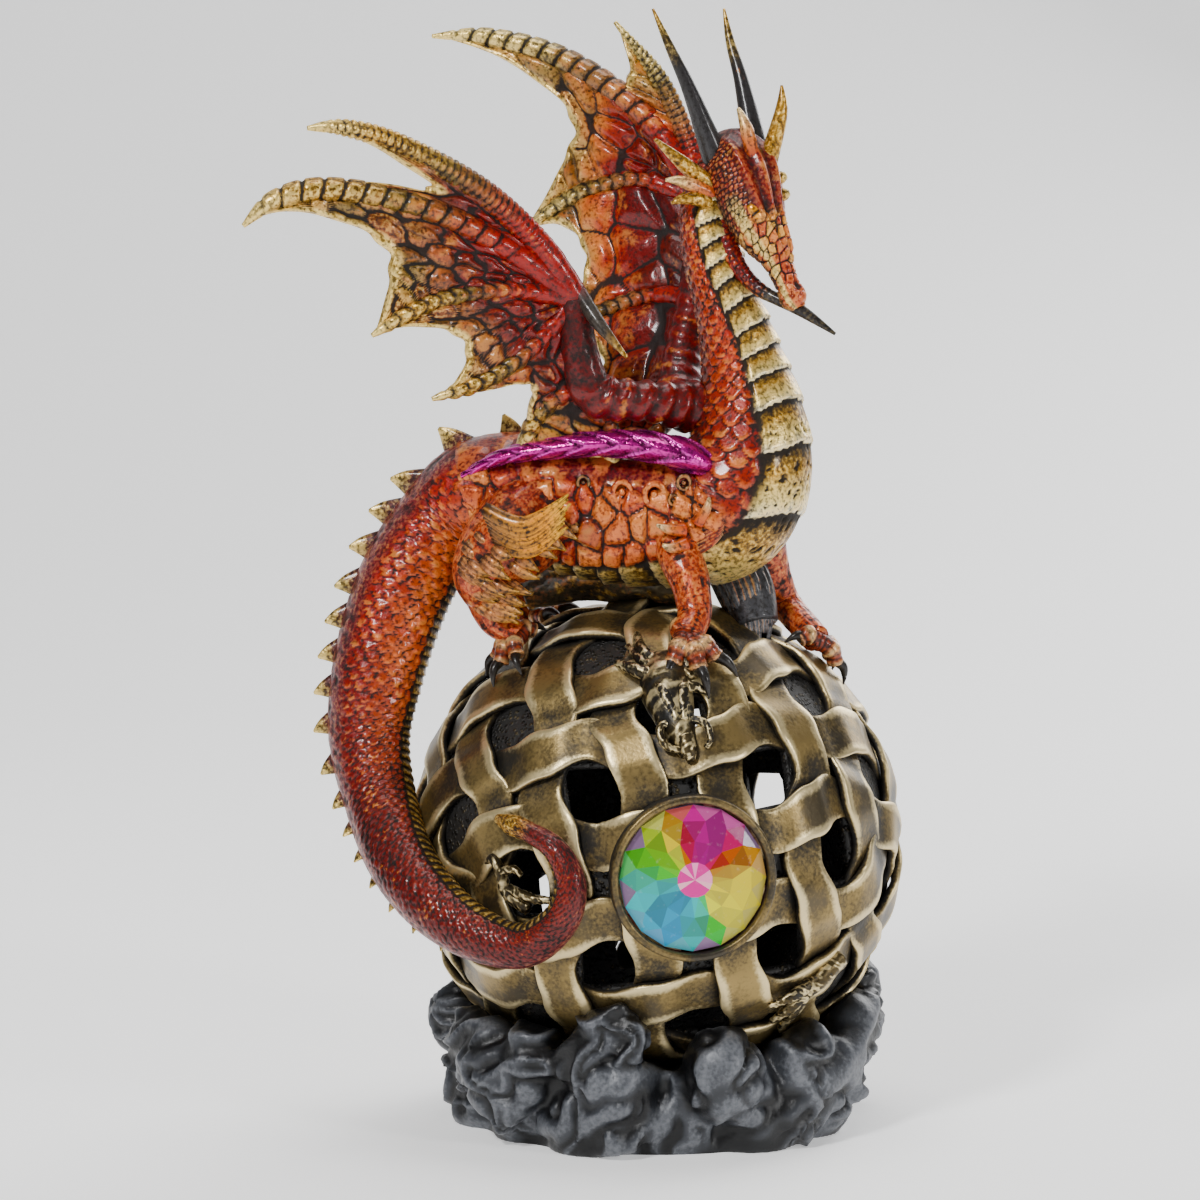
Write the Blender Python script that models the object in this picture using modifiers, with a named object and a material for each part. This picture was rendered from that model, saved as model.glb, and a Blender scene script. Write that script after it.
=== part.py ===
"""Dragon on a woven orb: a cast resin figure, its pierced orb, a faceted gem and a smoke plinth.

Lengths are metres, +Z is up, the viewer stands at -Y and the origin is the middle of the
plinth's underside. Tables of stations are in millimetres, at the figure's own scale.
"""

import enum
import math

import bmesh
import bpy
from mathutils import Matrix, Vector

MM = 0.001
GAP = 0.0003                  # clearance between pieces that touch

# Orb: a hollow ball of woven straps, pierced between some of them.
ORB_RADIUS = 0.0443           # over the highest straps
ORB_WALL = 0.0042             # highest strap to the inside face
STRAP_WIDTH = 0.0071
STRAP_RISE = 0.0011           # a strap that passes over, above one that passes under
GROUND_DEPTH = 0.0024         # highest strap to the grained ground of a closed cell
ORB_SINK = 0.0059             # plinth's underside to the lowest point of the orb
CELLS_A_SIDE = 3              # cells along each side of the cube that the weave is drawn on
WEAVE_TURN = math.radians(50)
OPEN_CONE = math.radians(52)  # cells this near the gem's axis, front or back, are open
BEZEL_CONE = math.radians(15) # but not those behind the bezel

# Gem and the bezel that holds it.
GEM_RADIUS = 0.0126
GEM_GIRDLE = 0.0020           # height of its straight edge
GEM_CROWN = 0.0022            # height of the facets above that edge
GEM_SIDES = 16
BEZEL_WALL = 0.0013
BEZEL_STAND = 0.0008          # bezel's rim above the highest straps
POCKET_FLOOR = 0.0016
GEM_AZIMUTH = math.radians(7.3)

# Plinth.
PLINTH_RADIUS = 0.0420        # to the outer side of the curls
DRAWN_PLINTH = 42             # that reach in the drawn millimetres below
PLINTH_CORE_HEIGHT = 0.0150
PLINTH_CURLS = 13
# Wisps drawn by azimuth, height, distance from the axis and radius, in degrees and mm.
PLINTH_WISPS = {
    "front_curl": (
        (-12, 2.0, 33.0, 6.5), (-14, 10.0, 35.0, 5.6), (-19, 17.0, 37.0, 4.4), (-17, 23.5, 36.5, 3.6),
        (-10, 24.5, 37.0, 3.4), (-7, 20.0, 38.5, 3.0), (-11, 17.5, 39.5, 2.6),
    ),
    "left_slab": ((-66, 19.0, 35.0, 3.6), (-52, 14.0, 36.0, 7.0), (-42, 6.0, 33.0, 8.0)),
    "right_curl": (
        (38, 4.0, 32.0, 8.0), (48, 11.0, 34.0, 7.0), (64, 15.0, 36.0, 5.0), (78, 20.0, 37.0, 4.6),
        (86, 25.0, 36.5, 3.8),
    ),
    "pearl": ((18, 14.0, 38.0, 3.6), (20, 15.5, 38.6, 3.4)),
    "back_curl": (
        (168, 3.0, 32.0, 7.0), (172, 12.0, 35.0, 5.6), (180, 20.0, 36.5, 4.4), (190, 23.0, 37.0, 3.4),
    ),
}

# Figure: its height above the orb sets the scale of every station below.
FIGURE_HEIGHT = 0.1056
DRAWN_HEIGHT = 105.6
WING_THICKNESS = 0.0019
FIGURE_VOXEL = 0.00055
FIGURE_KEEP = 0.0136          # share of the fused faces that is kept
PLINTH_VOXEL = 0.0011
PLINTH_KEEP = 0.0112
MASK_VOXEL = 0.0006
MASK_KEEP = 0.05

UNIT = FIGURE_HEIGHT / DRAWN_HEIGHT
ORB_CENTRE = Vector((0, 0, ORB_SINK + ORB_RADIUS))
ORB_TOP = ORB_CENTRE + Vector((0, 0, ORB_RADIUS))

# Stations: x, y, height above the orb's top, radius.
NECK_AND_TRUNK = (
    (11.5, -8.5, 76.5, 4.2), (8.6, -9.0, 68.5, 4.3), (9.9, -9.0, 60.2, 4.9), (12.6, -9.0, 51.7, 5.6),
    (15.0, -8.0, 42.8, 7.0), (16.4, -8.0, 34.0, 9.2), (15.8, -8.0, 24.4, 11.4), (11.6, -7.5, 16.6, 12.2),
    (2.0, -6.0, 14.8, 12.0), (-7.0, -4.5, 15.4, 12.2), (-16.0, -3.0, 16.8, 11.9), (-25.0, -1.5, 18.2, 11.0),
    (-32.0, 0.0, 18.2, 9.9),
)
# Tail, measured round the orb: azimuth, elevation, lift above the straps, radius.
TAIL_ROUND_ORB = (
    (-92, 57.0, 24.4, 9.0), (-90, 48.8, 21.6, 8.6), (-88, 40.4, 17.9, 8.4), (-86, 30.0, 13.9, 7.9),
    (-84, 19.8, 10.6, 7.0), (-78, 9.5, 6.6, 6.2), (-66, 0.4, 5.4, 5.8), (-54, -7.1, 5.0, 5.3),
    (-42, -12.8, 4.3, 4.5), (-30, -14.6, 3.5, 3.7), (-21.4, -8.9, 2.9, 3.1), (-19.0, -1.3, 2.4, 2.6),
    (-22.6, 5.8, 2.0, 2.1), (-29.0, 9.0, 1.7, 1.7), (-33.5, 10.2, 1.4, 1.8), (-38.5, 11.4, 1.0, 0.7),
)
SKULL = (
    (9.6, -6.5, 79.0, 3.2), (12.9, -8.0, 78.6, 5.5), (14.6, -10.0, 75.2, 6.5), (16.1, -12.0, 70.2, 5.7),
    (18.0, -14.0, 65.4, 4.1), (20.6, -15.5, 60.8, 2.6), (22.3, -17.0, 56.6, 1.9), (23.5, -18.0, 53.8, 2.2),
    (24.4, -18.5, 52.1, 1.0),
)
JAW = (
    (10.6, -10.0, 68.0, 2.6), (12.2, -12.0, 63.0, 1.9), (14.4, -13.5, 58.8, 1.4), (18.2, -15.2, 55.0, 1.1),
    (24.6, -18.0, 51.8, 1.1), (30.7, -20.0, 47.6, 0.3),
)
HORNS = (
    ((10.4, -10.5, 79.0, 2.3), (5.6, -12.0, 89.8, 1.3), (1.9, -12.0, 97.8, 0.8), (-1.0, -11.0, 104.3, 0.3)),
    ((17.8, -6.5, 80.0, 2.3), (15.0, -4.0, 91.5, 1.3), (12.9, -2.0, 99.2, 0.8), (11.8, -1.0, 105.1, 0.3)),
    ((19.0, -11.5, 78.0, 1.6), (21.4, -12.0, 85.8, 1.1), (21.6, -12.0, 91.0, 0.3)),
    ((17.4, -15.0, 75.5, 1.0), (15.6, -15.2, 81.7, 1.1), (13.9, -14.0, 86.9, 0.3)),
    ((9.5, -12.0, 73.2, 0.9), (3.7, -14.0, 77.4, 0.8), (-0.7, -15.0, 81.3, 0.3)),
    ((10.0, -12.5, 72.0, 0.9), (4.6, -15.0, 73.7, 0.8), (1.6, -16.0, 73.0, 0.3)),
)
BROWS = (
    ((11.5, -13.5, 77.0, 1.2), (14.6, -15.8, 73.0, 1.3), (17.4, -17.0, 69.4, 1.2),
     (19.4, -17.2, 66.4, 0.7)),
    ((18.6, -5.6, 76.0, 1.2), (20.2, -8.8, 71.6, 1.5), (20.8, -10.8, 68.8, 1.4), (20.8, -13.0, 65.6, 0.7)),
)
FLANK_PLATES = (
    (-34.7, -9.0, 22.3, 0.7), (-27.9, -11.2, 25.7, 1.6), (-19.1, -13.0, 27.3, 2.2),
    (-10.3, -14.2, 28.3, 2.7), (-1.5, -15.4, 27.8, 3.1), (5.0, -16.4, 26.2, 3.3),
)
# Legs: their stations end at a foot set on the orb by azimuth and elevation, with the way it points.
LEGS = (
    ("near_fore", (
        (7.4, -9.0, 18.2, 6.0), (3.6, -16.0, 11.0, 4.0), (5.6, -20.0, 4.0, 3.2), (6.2, -22.6, -1.5, 2.7),
    ), (10.0, 56.5), -80, 2.6),
    ("far_fore", (
        (17.0, -1.0, 12.0, 5.5), (21.0, 0.8, 3.0, 3.3), (23.8, 1.2, -2.0, 2.6),
    ), (76.0, 52.0), -35, 2.4),
    ("near_hind", (
        (-19.8, -7.0, 16.6, 7.6), (-25.4, -10.6, 12.0, 7.8), (-30.6, -12.0, 5.6, 5.6),
        (-30.4, -11.0, 0.2, 3.3), (-28.8, -10.6, -3.6, 2.5),
    ), (-65.0, 54.5), -80, 2.2),
    ("far_hind", (
        (-21.0, 6.5, 15.0, 7.2), (-24.5, 12.5, 9.0, 6.4), (-26.5, 15.5, 2.0, 3.6), (-24.0, 17.0, -4.4, 2.5),
    ), (-127.0, 52.5), 100, 2.4),
)
TUFT = ((12.0, -3.0, 10.0, 5.5), (15.8, -5.0, 1.5, 5.2), (17.5, -7.5, -4.5, 4.2))
SADDLE = ((-24.0, 1.0, 3.0, 5.0), (-14.0, 0.0, 5.0, 5.0), (-2.0, -2.0, 5.0, 5.5), (8.0, -3.0, 3.5, 5.0))

# Wings: fingers run from the wrist to their tips; skin spans each pair of fingers.
NEAR_ARM = (
    (6.0, -8.0, 34.5, 4.2), (-1.4, -13.0, 35.6, 3.0), (-10.8, -15.0, 37.0, 3.4), (-13.8, -16.0, 44.0, 3.0),
    (-14.6, -16.0, 53.5, 2.6),
)
NEAR_THUMB = ((-14.1, -16.6, 54.9, 1.5), (-10.3, -20.0, 49.2, 1.2), (-5.6, -22.0, 43.6, 0.3))
NEAR_FINGERS = (
    ((-14.6, -16.0, 53.5, 2.5), (-20.7, -18.0, 62.9, 2.3), (-31.0, -22.0, 72.5, 2.2),
     (-44.6, -26.0, 80.1, 1.8), (-53.9, -28.0, 82.9, 1.4), (-60.3, -29.0, 82.8, 0.6)),
    ((-14.6, -16.0, 53.5, 2.2), (-27.6, -20.0, 63.0, 2.2), (-41.2, -26.0, 69.5, 2.0),
     (-56.4, -30.0, 72.3, 2.0), (-65.6, -32.0, 70.5, 1.6), (-71.0, -33.0, 66.1, 0.6)),
    ((-14.6, -16.0, 53.5, 1.8), (-25.9, -20.0, 55.2, 1.6), (-37.9, -25.0, 53.5, 1.5),
     (-44.7, -27.0, 50.4, 1.4), (-49.5, -28.0, 47.4, 0.6)),
    ((-14.6, -16.0, 53.5, 1.6), (-20.7, -18.0, 46.5, 1.6), (-27.7, -21.0, 41.0, 1.5),
     (-33.7, -23.0, 38.3, 1.4), (-39.4, -24.0, 36.4, 0.6)),
    ((-10.6, -14.8, 38.0, 1.6), (-16.4, -14.4, 37.0, 1.6), (-21.2, -13.4, 33.3, 1.6),
     (-23.2, -11.0, 27.6, 1.8)),
    ((-8.8, -14.8, 37.0, 1.6), (-8.6, -13.4, 33.0, 1.6), (-8.4, -12.2, 29.0, 1.6),
     (-8.2, -11.0, 25.0, 1.6)),
)
NEAR_NOTCHES = (0.52, 0.40, 0.42, 0.50, 0.0)
FAR_ARM = ((4.0, -1.0, 33.5, 4.4), (4.5, 4.0, 42.0, 3.2), (7.0, 8.0, 55.6, 2.6), (8.0, 12.0, 71.5, 2.4))
FAR_FINGERS = (
    ((8.0, 12.0, 71.5, 2.4), (6.2, 14.0, 80.7, 1.8), (0.7, 17.0, 93.5, 1.6), (-7.5, 20.0, 104.2, 0.6)),
    ((8.0, 12.0, 71.5, 2.4), (-1.1, 17.0, 86.0, 2.2), (-15.8, 24.0, 97.0, 2.2),
     (-30.7, 29.0, 102.0, 1.6), (-41.6, 31.0, 102.4, 0.6)),
    ((8.0, 12.0, 71.5, 2.0), (-2.9, 17.0, 75.3, 1.6), (-12.1, 22.0, 73.6, 1.6),
     (-17.7, 25.0, 70.9, 1.6), (-24.9, 27.0, 66.0, 0.8)),
    ((6.4, 7.0, 54.0, 1.8), (-1.1, 12.0, 54.0, 1.6), (-12.1, 17.0, 50.3, 1.4), (-21.4, 21.0, 44.8, 0.8)),
    ((3.6, 1.5, 37.0, 1.8), (-4.0, 5.0, 34.5, 1.6), (-13.0, 7.0, 30.0, 1.6), (-18.0, 6.0, 26.0, 1.6)),
    ((3.6, 1.0, 35.0, 1.6), (1.0, 0.5, 31.0, 1.6), (-1.5, 0.0, 27.0, 1.6), (-4.0, -0.5, 23.0, 1.6)),
)
FAR_NOTCHES = (0.42, 0.44, 0.34, 0.40, 0.0)

TAIL_FINS = 15

# The little head cast on the orb's front: azimuth, elevation, lift above the straps, radius.
MASK = (
    (2.7, 53.3, -1.7, 4.0), (2.2, 46.7, -1.5, 4.8), (4.1, 38.2, -1.1, 3.5), (6.1, 31.6, -0.7, 2.2),
    (7.3, 27.6, -0.5, 1.4),
)
MASK_HORNS = (
    ((0.5, 50.5, 0.2, 1.4), (-6.5, 55.0, 0.3, 1.2), (-9.5, 62.0, 0.2, 0.8)),
    ((0.5, 46.5, 0.4, 1.3), (-8.0, 49.0, 0.4, 1.2), (-14.5, 51.5, 0.2, 0.8)),
    ((5.0, 46.5, 0.3, 1.3), (11.5, 48.5, 0.3, 1.2), (15.0, 48.0, 0.1, 0.8)),
)

COLOURS = {
    "dragon": ((0.45, 0.09, 0.05), 0.45, 0.35),
    "woven_orb": ((0.32, 0.26, 0.15), 0.42, 0.75),
    "gem": ((0.75, 0.35, 0.75), 0.05, 0.0),
    "smoke_plinth": ((0.10, 0.11, 0.12), 0.60, 0.1),
}


def clear_scene():
    """Removes every object of the open file."""
    for thing in list(bpy.data.objects):
        bpy.data.objects.remove(thing)


def new_collection(name, hidden=False):
    """A collection in the scene; a hidden one holds cutters."""
    made = bpy.data.collections.new(name)
    made.hide_render = hidden
    bpy.context.scene.collection.children.link(made)
    return made


def new_material(name):
    """A plain Principled material in the node's colour."""
    colour, roughness, metallic = COLOURS[name]
    made = bpy.data.materials.new(name)
    made.use_nodes = True
    shader = made.node_tree.nodes["Principled BSDF"]
    shader.inputs["Base Color"].default_value = (*colour, 1)
    shader.inputs["Roughness"].default_value = roughness
    shader.inputs["Metallic"].default_value = metallic
    return made


def on_figure(x, y, z):
    """A point of the figure, from its drawn place above the orb's top."""
    return ORB_TOP + Vector((x, y, z)) * UNIT


def on_orb(azimuth, elevation, lift=0.0):
    """A point lift metres above the straps. Azimuth 0 faces the viewer and 90 is +X, in degrees."""
    a = math.radians(azimuth)
    e = math.radians(elevation)
    out = Vector((math.sin(a) * math.cos(e), -math.cos(a) * math.cos(e), math.sin(e)))
    return ORB_CENTRE + out * (ORB_RADIUS + lift)


def figure_stations(table):
    """Points and radii of a table of stations drawn above the orb's top."""
    return [(on_figure(x, y, z), r * UNIT) for x, y, z, r in table]


def tail_stations():
    """Points and radii of the tail, which hugs the orb at any orb size."""
    return [(on_orb(a, e, GAP + lift * UNIT), r * UNIT) for a, e, lift, r in TAIL_ROUND_ORB]


def smooth(stations, t):
    """Point and radius at t, from 0 to 1, of a Catmull-Rom curve through the stations."""
    last = len(stations) - 1
    place = min(max(t, 0.0), 1.0) * last
    i = min(int(place), last - 1)
    u = place - i
    around = [stations[min(max(k, 0), last)] for k in (i - 1, i, i + 1, i + 2)]
    weights = (
        (-u + 2 * u * u - u**3) / 2,
        (2 - 5 * u * u + 3 * u**3) / 2,
        (u + 4 * u * u - 3 * u**3) / 2,
        (-u * u + u**3) / 2,
    )
    point = sum((p * w for (p, _), w in zip(around, weights)), Vector())
    radius = sum(r * w for (_, r), w in zip(around, weights))
    return point, max(radius, 0.2 * MM)


def tangent(stations, t):
    """Direction of the curve at t."""
    step = 0.01
    ahead, _ = smooth(stations, t + step)
    behind, _ = smooth(stations, t - step)
    return (ahead - behind).normalized()


def to_mesh(curve_object):
    """Turns a curve object into a mesh object, with its caps welded on."""
    graph = bpy.context.evaluated_depsgraph_get()
    mesh = bpy.data.meshes.new_from_object(curve_object.evaluated_get(graph))
    name = curve_object.name
    matrix = curve_object.matrix_world.copy()
    bpy.data.objects.remove(curve_object)
    bm = bmesh.new()
    bm.from_mesh(mesh)
    bmesh.ops.remove_doubles(bm, verts=bm.verts, dist=0.00001)
    bmesh.ops.recalc_face_normals(bm, faces=bm.faces)
    bm.to_mesh(mesh)
    bm.free()
    made = bpy.data.objects.new(name, mesh)
    made.matrix_world = matrix
    return made


def tube(name, stations, steps=5, roundness=2):
    """A round tube of changing radius through the stations, as a mesh object in no collection."""
    curve = bpy.data.curves.new(name, "CURVE")
    curve.dimensions = "3D"
    curve.bevel_depth = 1.0
    curve.bevel_resolution = roundness
    curve.use_fill_caps = True
    spline = curve.splines.new("POLY")
    count = (len(stations) - 1) * steps + 1
    spline.points.add(count - 1)
    for i, point in enumerate(spline.points):
        place, radius = smooth(stations, i / (count - 1))
        point.co = (*place, 1)
        point.radius = radius
    made = bpy.data.objects.new(name, curve)
    bpy.context.scene.collection.objects.link(made)
    return to_mesh(made)


def fuse(name, pieces, voxel, keep):
    """One object of all the pieces, with live modifiers that fuse them into one skin and thin its faces."""
    bm = bmesh.new()
    for piece in pieces:
        piece.data.transform(piece.matrix_world)
        bm.from_mesh(piece.data)
        bpy.data.objects.remove(piece)
    mesh = bpy.data.meshes.new(name)
    bm.to_mesh(mesh)
    bm.free()
    made = bpy.data.objects.new(name, mesh)
    remesh = made.modifiers.new("fuse", "REMESH")
    remesh.mode = "VOXEL"
    remesh.voxel_size = voxel
    thin = made.modifiers.new("thin", "DECIMATE")
    thin.ratio = keep
    return made


def boolean(target, other, operation, crowded=False):
    """Adds an exact Boolean modifier by another object; crowded allows for folds that touch."""
    modifier = target.modifiers.new(other.name, "BOOLEAN")
    modifier.operation = operation
    modifier.solver = "EXACT"
    modifier.use_self = crowded
    modifier.object = other


def as_cutter(thing, cutters):
    """Files an object as a cutter, which the part doesn't show."""
    thing.hide_render = True
    thing.display_type = "WIRE"
    cutters.objects.link(thing)
    return thing


def mesh_object(name, bm):
    """An object from a bmesh, which it frees."""
    mesh = bpy.data.meshes.new(name)
    bm.to_mesh(mesh)
    bm.free()
    return bpy.data.objects.new(name, mesh)


def ball(name, centre, radii, detail=3):
    """An icosphere stretched to three radii about its centre."""
    bm = bmesh.new()
    bmesh.ops.create_icosphere(bm, subdivisions=detail, radius=1.0)
    bmesh.ops.scale(bm, vec=radii, verts=bm.verts)
    bmesh.ops.translate(bm, vec=centre, verts=bm.verts)
    return mesh_object(name, bm)


def upright_cylinder(name, radius, low, high, sides):
    """A cylinder along local Z from low to high."""
    bm = bmesh.new()
    bmesh.ops.create_cone(
        bm, cap_ends=True, segments=sides, radius1=radius, radius2=radius, depth=high - low
    )
    bmesh.ops.translate(bm, vec=(0, 0, (low + high) / 2), verts=bm.verts)
    return mesh_object(name, bm)


def gem_frame():
    """Matrix whose Z axis runs from the orb's centre out through the gem."""
    out = Vector((math.sin(GEM_AZIMUTH), -math.cos(GEM_AZIMUTH), 0))
    side = Vector((math.cos(GEM_AZIMUTH), math.sin(GEM_AZIMUTH), 0))
    turn = Matrix((side, out.cross(side), out)).transposed()
    return Matrix.Translation(ORB_CENTRE) @ turn.to_4x4()


class Patch(enum.IntEnum):
    """What a face of the weave's layout becomes, kept as its material index."""

    FACE_CELL = 0
    KNOT_CELL = 1
    STRAP = 2


def weave_cells():
    """The weave on a ball of radius 1: each edge is the middle of a strap and each face a gap.

    A cube's grid, blown up to a ball, has every corner cut back to its edges' middles, so that
    four edges meet at each point, where two straps cross.
    """
    bm = bmesh.new()
    bmesh.ops.create_cube(bm, size=2)
    bmesh.ops.subdivide_edges(bm, edges=bm.edges, cuts=CELLS_A_SIDE - 1, use_grid_fill=True)
    for vert in bm.verts:
        vert.co = Vector([math.tan(k * math.pi / 4) for k in vert.co]).normalized()
    cut = bmesh.ops.bevel(
        bm, geom=bm.verts[:], offset=50, offset_type="PERCENT", affect="VERTICES", segments=1, profile=0.5
    )
    for face in cut["faces"]:
        face.material_index = Patch.KNOT_CELL
    bmesh.ops.remove_doubles(bm, verts=bm.verts, dist=0.001)
    for vert in bm.verts:
        vert.co.normalize()
    bmesh.ops.rotate(bm, cent=(0, 0, 0), matrix=Matrix.Rotation(WEAVE_TURN, 3, "Z"), verts=bm.verts)
    bmesh.ops.recalc_face_normals(bm, faces=bm.faces)
    number = bm.faces.layers.int.new("cell")
    for i, face in enumerate(bm.faces):
        face[number] = i
    return bm


def add_straps(bm):
    """Widens the edges of the weave into straps, which meet at square crossings."""
    bmesh.ops.bevel(
        bm, geom=bm.edges[:], offset=STRAP_WIDTH / 2 / ORB_RADIUS, offset_type="OFFSET",
        affect="EDGES", segments=1, profile=0.5, material=int(Patch.STRAP),
    )
    for vert in bm.verts:
        vert.co.normalize()
    bmesh.ops.recalc_face_normals(bm, faces=bm.faces)
    bm.faces.index_update()
    bm.verts.index_update()


def is_cell(face):
    """Whether a face of the layout is a gap between straps."""
    return face.material_index != Patch.STRAP


def is_crossing(face):
    """Whether a strap face is a crossing, which touches no cell along an edge."""
    return not is_cell(face) and not any(is_cell(f) for e in face.edges for f in e.link_faces)


def is_open(face):
    """Whether a cell is pierced: a face cell near the gem's axis, front or back, but not on it."""
    middle = face.calc_center_median()
    tilt = math.acos(min(1.0, abs(middle.z) / middle.length))
    return face.material_index == Patch.FACE_CELL and BEZEL_CONE < tilt < OPEN_CONE


def starts_at_face_cell(vert):
    """Whether a crossing's corner touches a face cell."""
    return any(f.material_index == Patch.FACE_CELL for f in vert.link_faces)


def under_ends(bm):
    """The corners of each link that lie where its strap dives under another."""
    found = set()
    for face in filter(is_crossing, bm.faces):
        for loop in face.loops:
            if not starts_at_face_cell(loop.vert):
                link = next(f for f in loop.edge.link_faces if f is not face)
                found.add((link.index, loop.vert.index))
                found.add((link.index, loop.link_loop_next.vert.index))
    return found


def shape_outside(bm):
    """Gives the layout its straps' rise and fall and its sunk cells, and opens the pierced ones.

    Returns, for each pierced cell's number, the edges of its rim.
    """
    number = bm.faces.layers.int["cell"]
    under = under_ends(bm)
    sides = {}
    for face in bm.faces:
        if is_cell(face) or is_crossing(face):
            continue
        for edge in face.edges:
            if any(is_cell(f) for f in edge.link_faces):
                low = next(v for v in edge.verts if (face.index, v.index) in under)
                sides[edge] = (edge.other_vert(low).co.copy(), low.co.copy())
    lip = 0.09
    split = bmesh.ops.subdivide_edges(bm, edges=list(sides), cuts=1)
    middles = [v for v in split["geom_inner"] if isinstance(v, bmesh.types.BMVert)]
    low_verts = set()
    for vert in middles:
        high, low = min(sides.values(), key=lambda ends: ((ends[0] + ends[1]) / 2 - vert.co).length)
        vert.co = high.lerp(low, 1 - lip).normalized()
        low_verts.add(vert)
    cells = [f for f in bm.faces if is_cell(f)]
    high_verts = {v for v in bm.verts if v not in low_verts}
    bmesh.ops.inset_individual(bm, faces=cells, thickness=0.4 * MM / ORB_RADIUS)
    sunk = {v for f in cells for v in f.verts}
    for vert in bm.verts:
        if vert in sunk:
            vert.co = vert.co.normalized() * (ORB_RADIUS - GROUND_DEPTH)
        elif vert in high_verts:
            vert.co = vert.co.normalized() * ORB_RADIUS
        else:
            vert.co = vert.co.normalized() * (ORB_RADIUS - STRAP_RISE)
    rims = {f[number]: list(f.edges) for f in cells if is_open(f)}
    bmesh.ops.delete(bm, geom=[f for f in cells if is_open(f)], context="FACES_ONLY")
    return rims


def make_orb(mask, cutters):
    """The hollow woven ball, with the gem's bezel and pocket and the little mask above it."""
    outside = weave_cells()
    inside = outside.copy()
    add_straps(outside)
    rims = shape_outside(outside)
    number = inside.faces.layers.int["cell"]
    holes = [f for f in inside.faces if is_open(f)]
    bmesh.ops.inset_individual(inside, faces=holes, thickness=STRAP_WIDTH / 2 / ORB_RADIUS)
    for vert in inside.verts:
        vert.co = vert.co.normalized() * (ORB_RADIUS - ORB_WALL)
    hole_edges = {f[number]: [[v.co.copy() for v in e.verts] for e in f.edges] for f in holes}
    bmesh.ops.delete(inside, geom=holes, context="FACES_ONLY")
    bmesh.ops.reverse_faces(inside, faces=inside.faces)
    liner = bpy.data.meshes.new("liner")
    inside.to_mesh(liner)
    inside.free()
    marks = {cell: [e.verts[:] for e in edges] for cell, edges in rims.items()}
    outside.from_mesh(liner)
    bpy.data.meshes.remove(liner)
    loose = [e for e in outside.edges if e.is_boundary]
    for cell, edges in marks.items():
        outer = [outside.edges.get(ends) for ends in edges]
        inner = [e for e in loose if any(matches(e, ends) for ends in hole_edges[cell])]
        bmesh.ops.bridge_loops(outside, edges=outer + inner)
    bmesh.ops.recalc_face_normals(outside, faces=outside.faces)
    orb = mesh_object("woven_orb", outside)
    orb.data.transform(gem_frame())

    rim = ORB_RADIUS + BEZEL_STAND
    outer_radius = GEM_RADIUS + GAP + BEZEL_WALL
    seat = ORB_RADIUS - GEM_GIRDLE
    boss = upright_cylinder("bezel", outer_radius, seat - POCKET_FLOOR, rim, 32)
    pocket = upright_cylinder("pocket", GEM_RADIUS + GAP, seat - GAP, rim + 5 * MM, 32)
    for thing in (boss, pocket):
        thing.data.transform(gem_frame())
        as_cutter(thing, cutters)
    boolean(orb, boss, "UNION")
    boolean(orb, mask, "UNION", crowded=True)
    boolean(orb, pocket, "DIFFERENCE")
    return orb


def matches(edge, ends):
    """Whether an edge joins these two points, either way round."""
    near = 1e-6
    a, b = (v.co for v in edge.verts)
    return (
        (a - ends[0]).length < near and (b - ends[1]).length < near
        or (a - ends[1]).length < near and (b - ends[0]).length < near
    )


def make_gem():
    """A flat-backed gem: the hull of a girdle, two rings of facets half a step apart and a flat table."""
    shoulder = GEM_GIRDLE * 0.7
    rings = (
        (GEM_RADIUS, 0.0, 0.0), (GEM_RADIUS, shoulder, 0.0),
        (GEM_RADIUS * 0.74, shoulder + GEM_CROWN * 0.6, 0.5), (GEM_RADIUS * 0.36, shoulder + GEM_CROWN, 0.0),
    )
    bm = bmesh.new()
    for radius, height, turn in rings:
        place = Matrix.Translation((0, 0, height)) @ Matrix.Rotation(turn * math.tau / GEM_SIDES, 4, "Z")
        bmesh.ops.create_circle(bm, segments=GEM_SIDES, radius=radius, matrix=place)
    bmesh.ops.convex_hull(bm, input=bm.verts[:])
    loose = [e for e in bm.edges if not e.link_faces]
    bmesh.ops.delete(bm, geom=loose, context="EDGES")
    bmesh.ops.dissolve_limit(bm, angle_limit=math.radians(1), verts=bm.verts[:], edges=bm.edges[:])
    bmesh.ops.recalc_face_normals(bm, faces=bm.faces)
    gem = mesh_object("gem", bm)
    gem.data.transform(gem_frame() @ Matrix.Translation((0, 0, ORB_RADIUS - GEM_GIRDLE)))
    return gem


def on_plinth(azimuth, height, reach):
    """A point of the plinth from its azimuth, height and distance from the axis, in degrees and mm."""
    a = math.radians(azimuth)
    scale = PLINTH_RADIUS / (DRAWN_PLINTH * MM)
    return Vector((math.sin(a) * reach * scale, -math.cos(a) * reach * scale, height)) * MM


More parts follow.
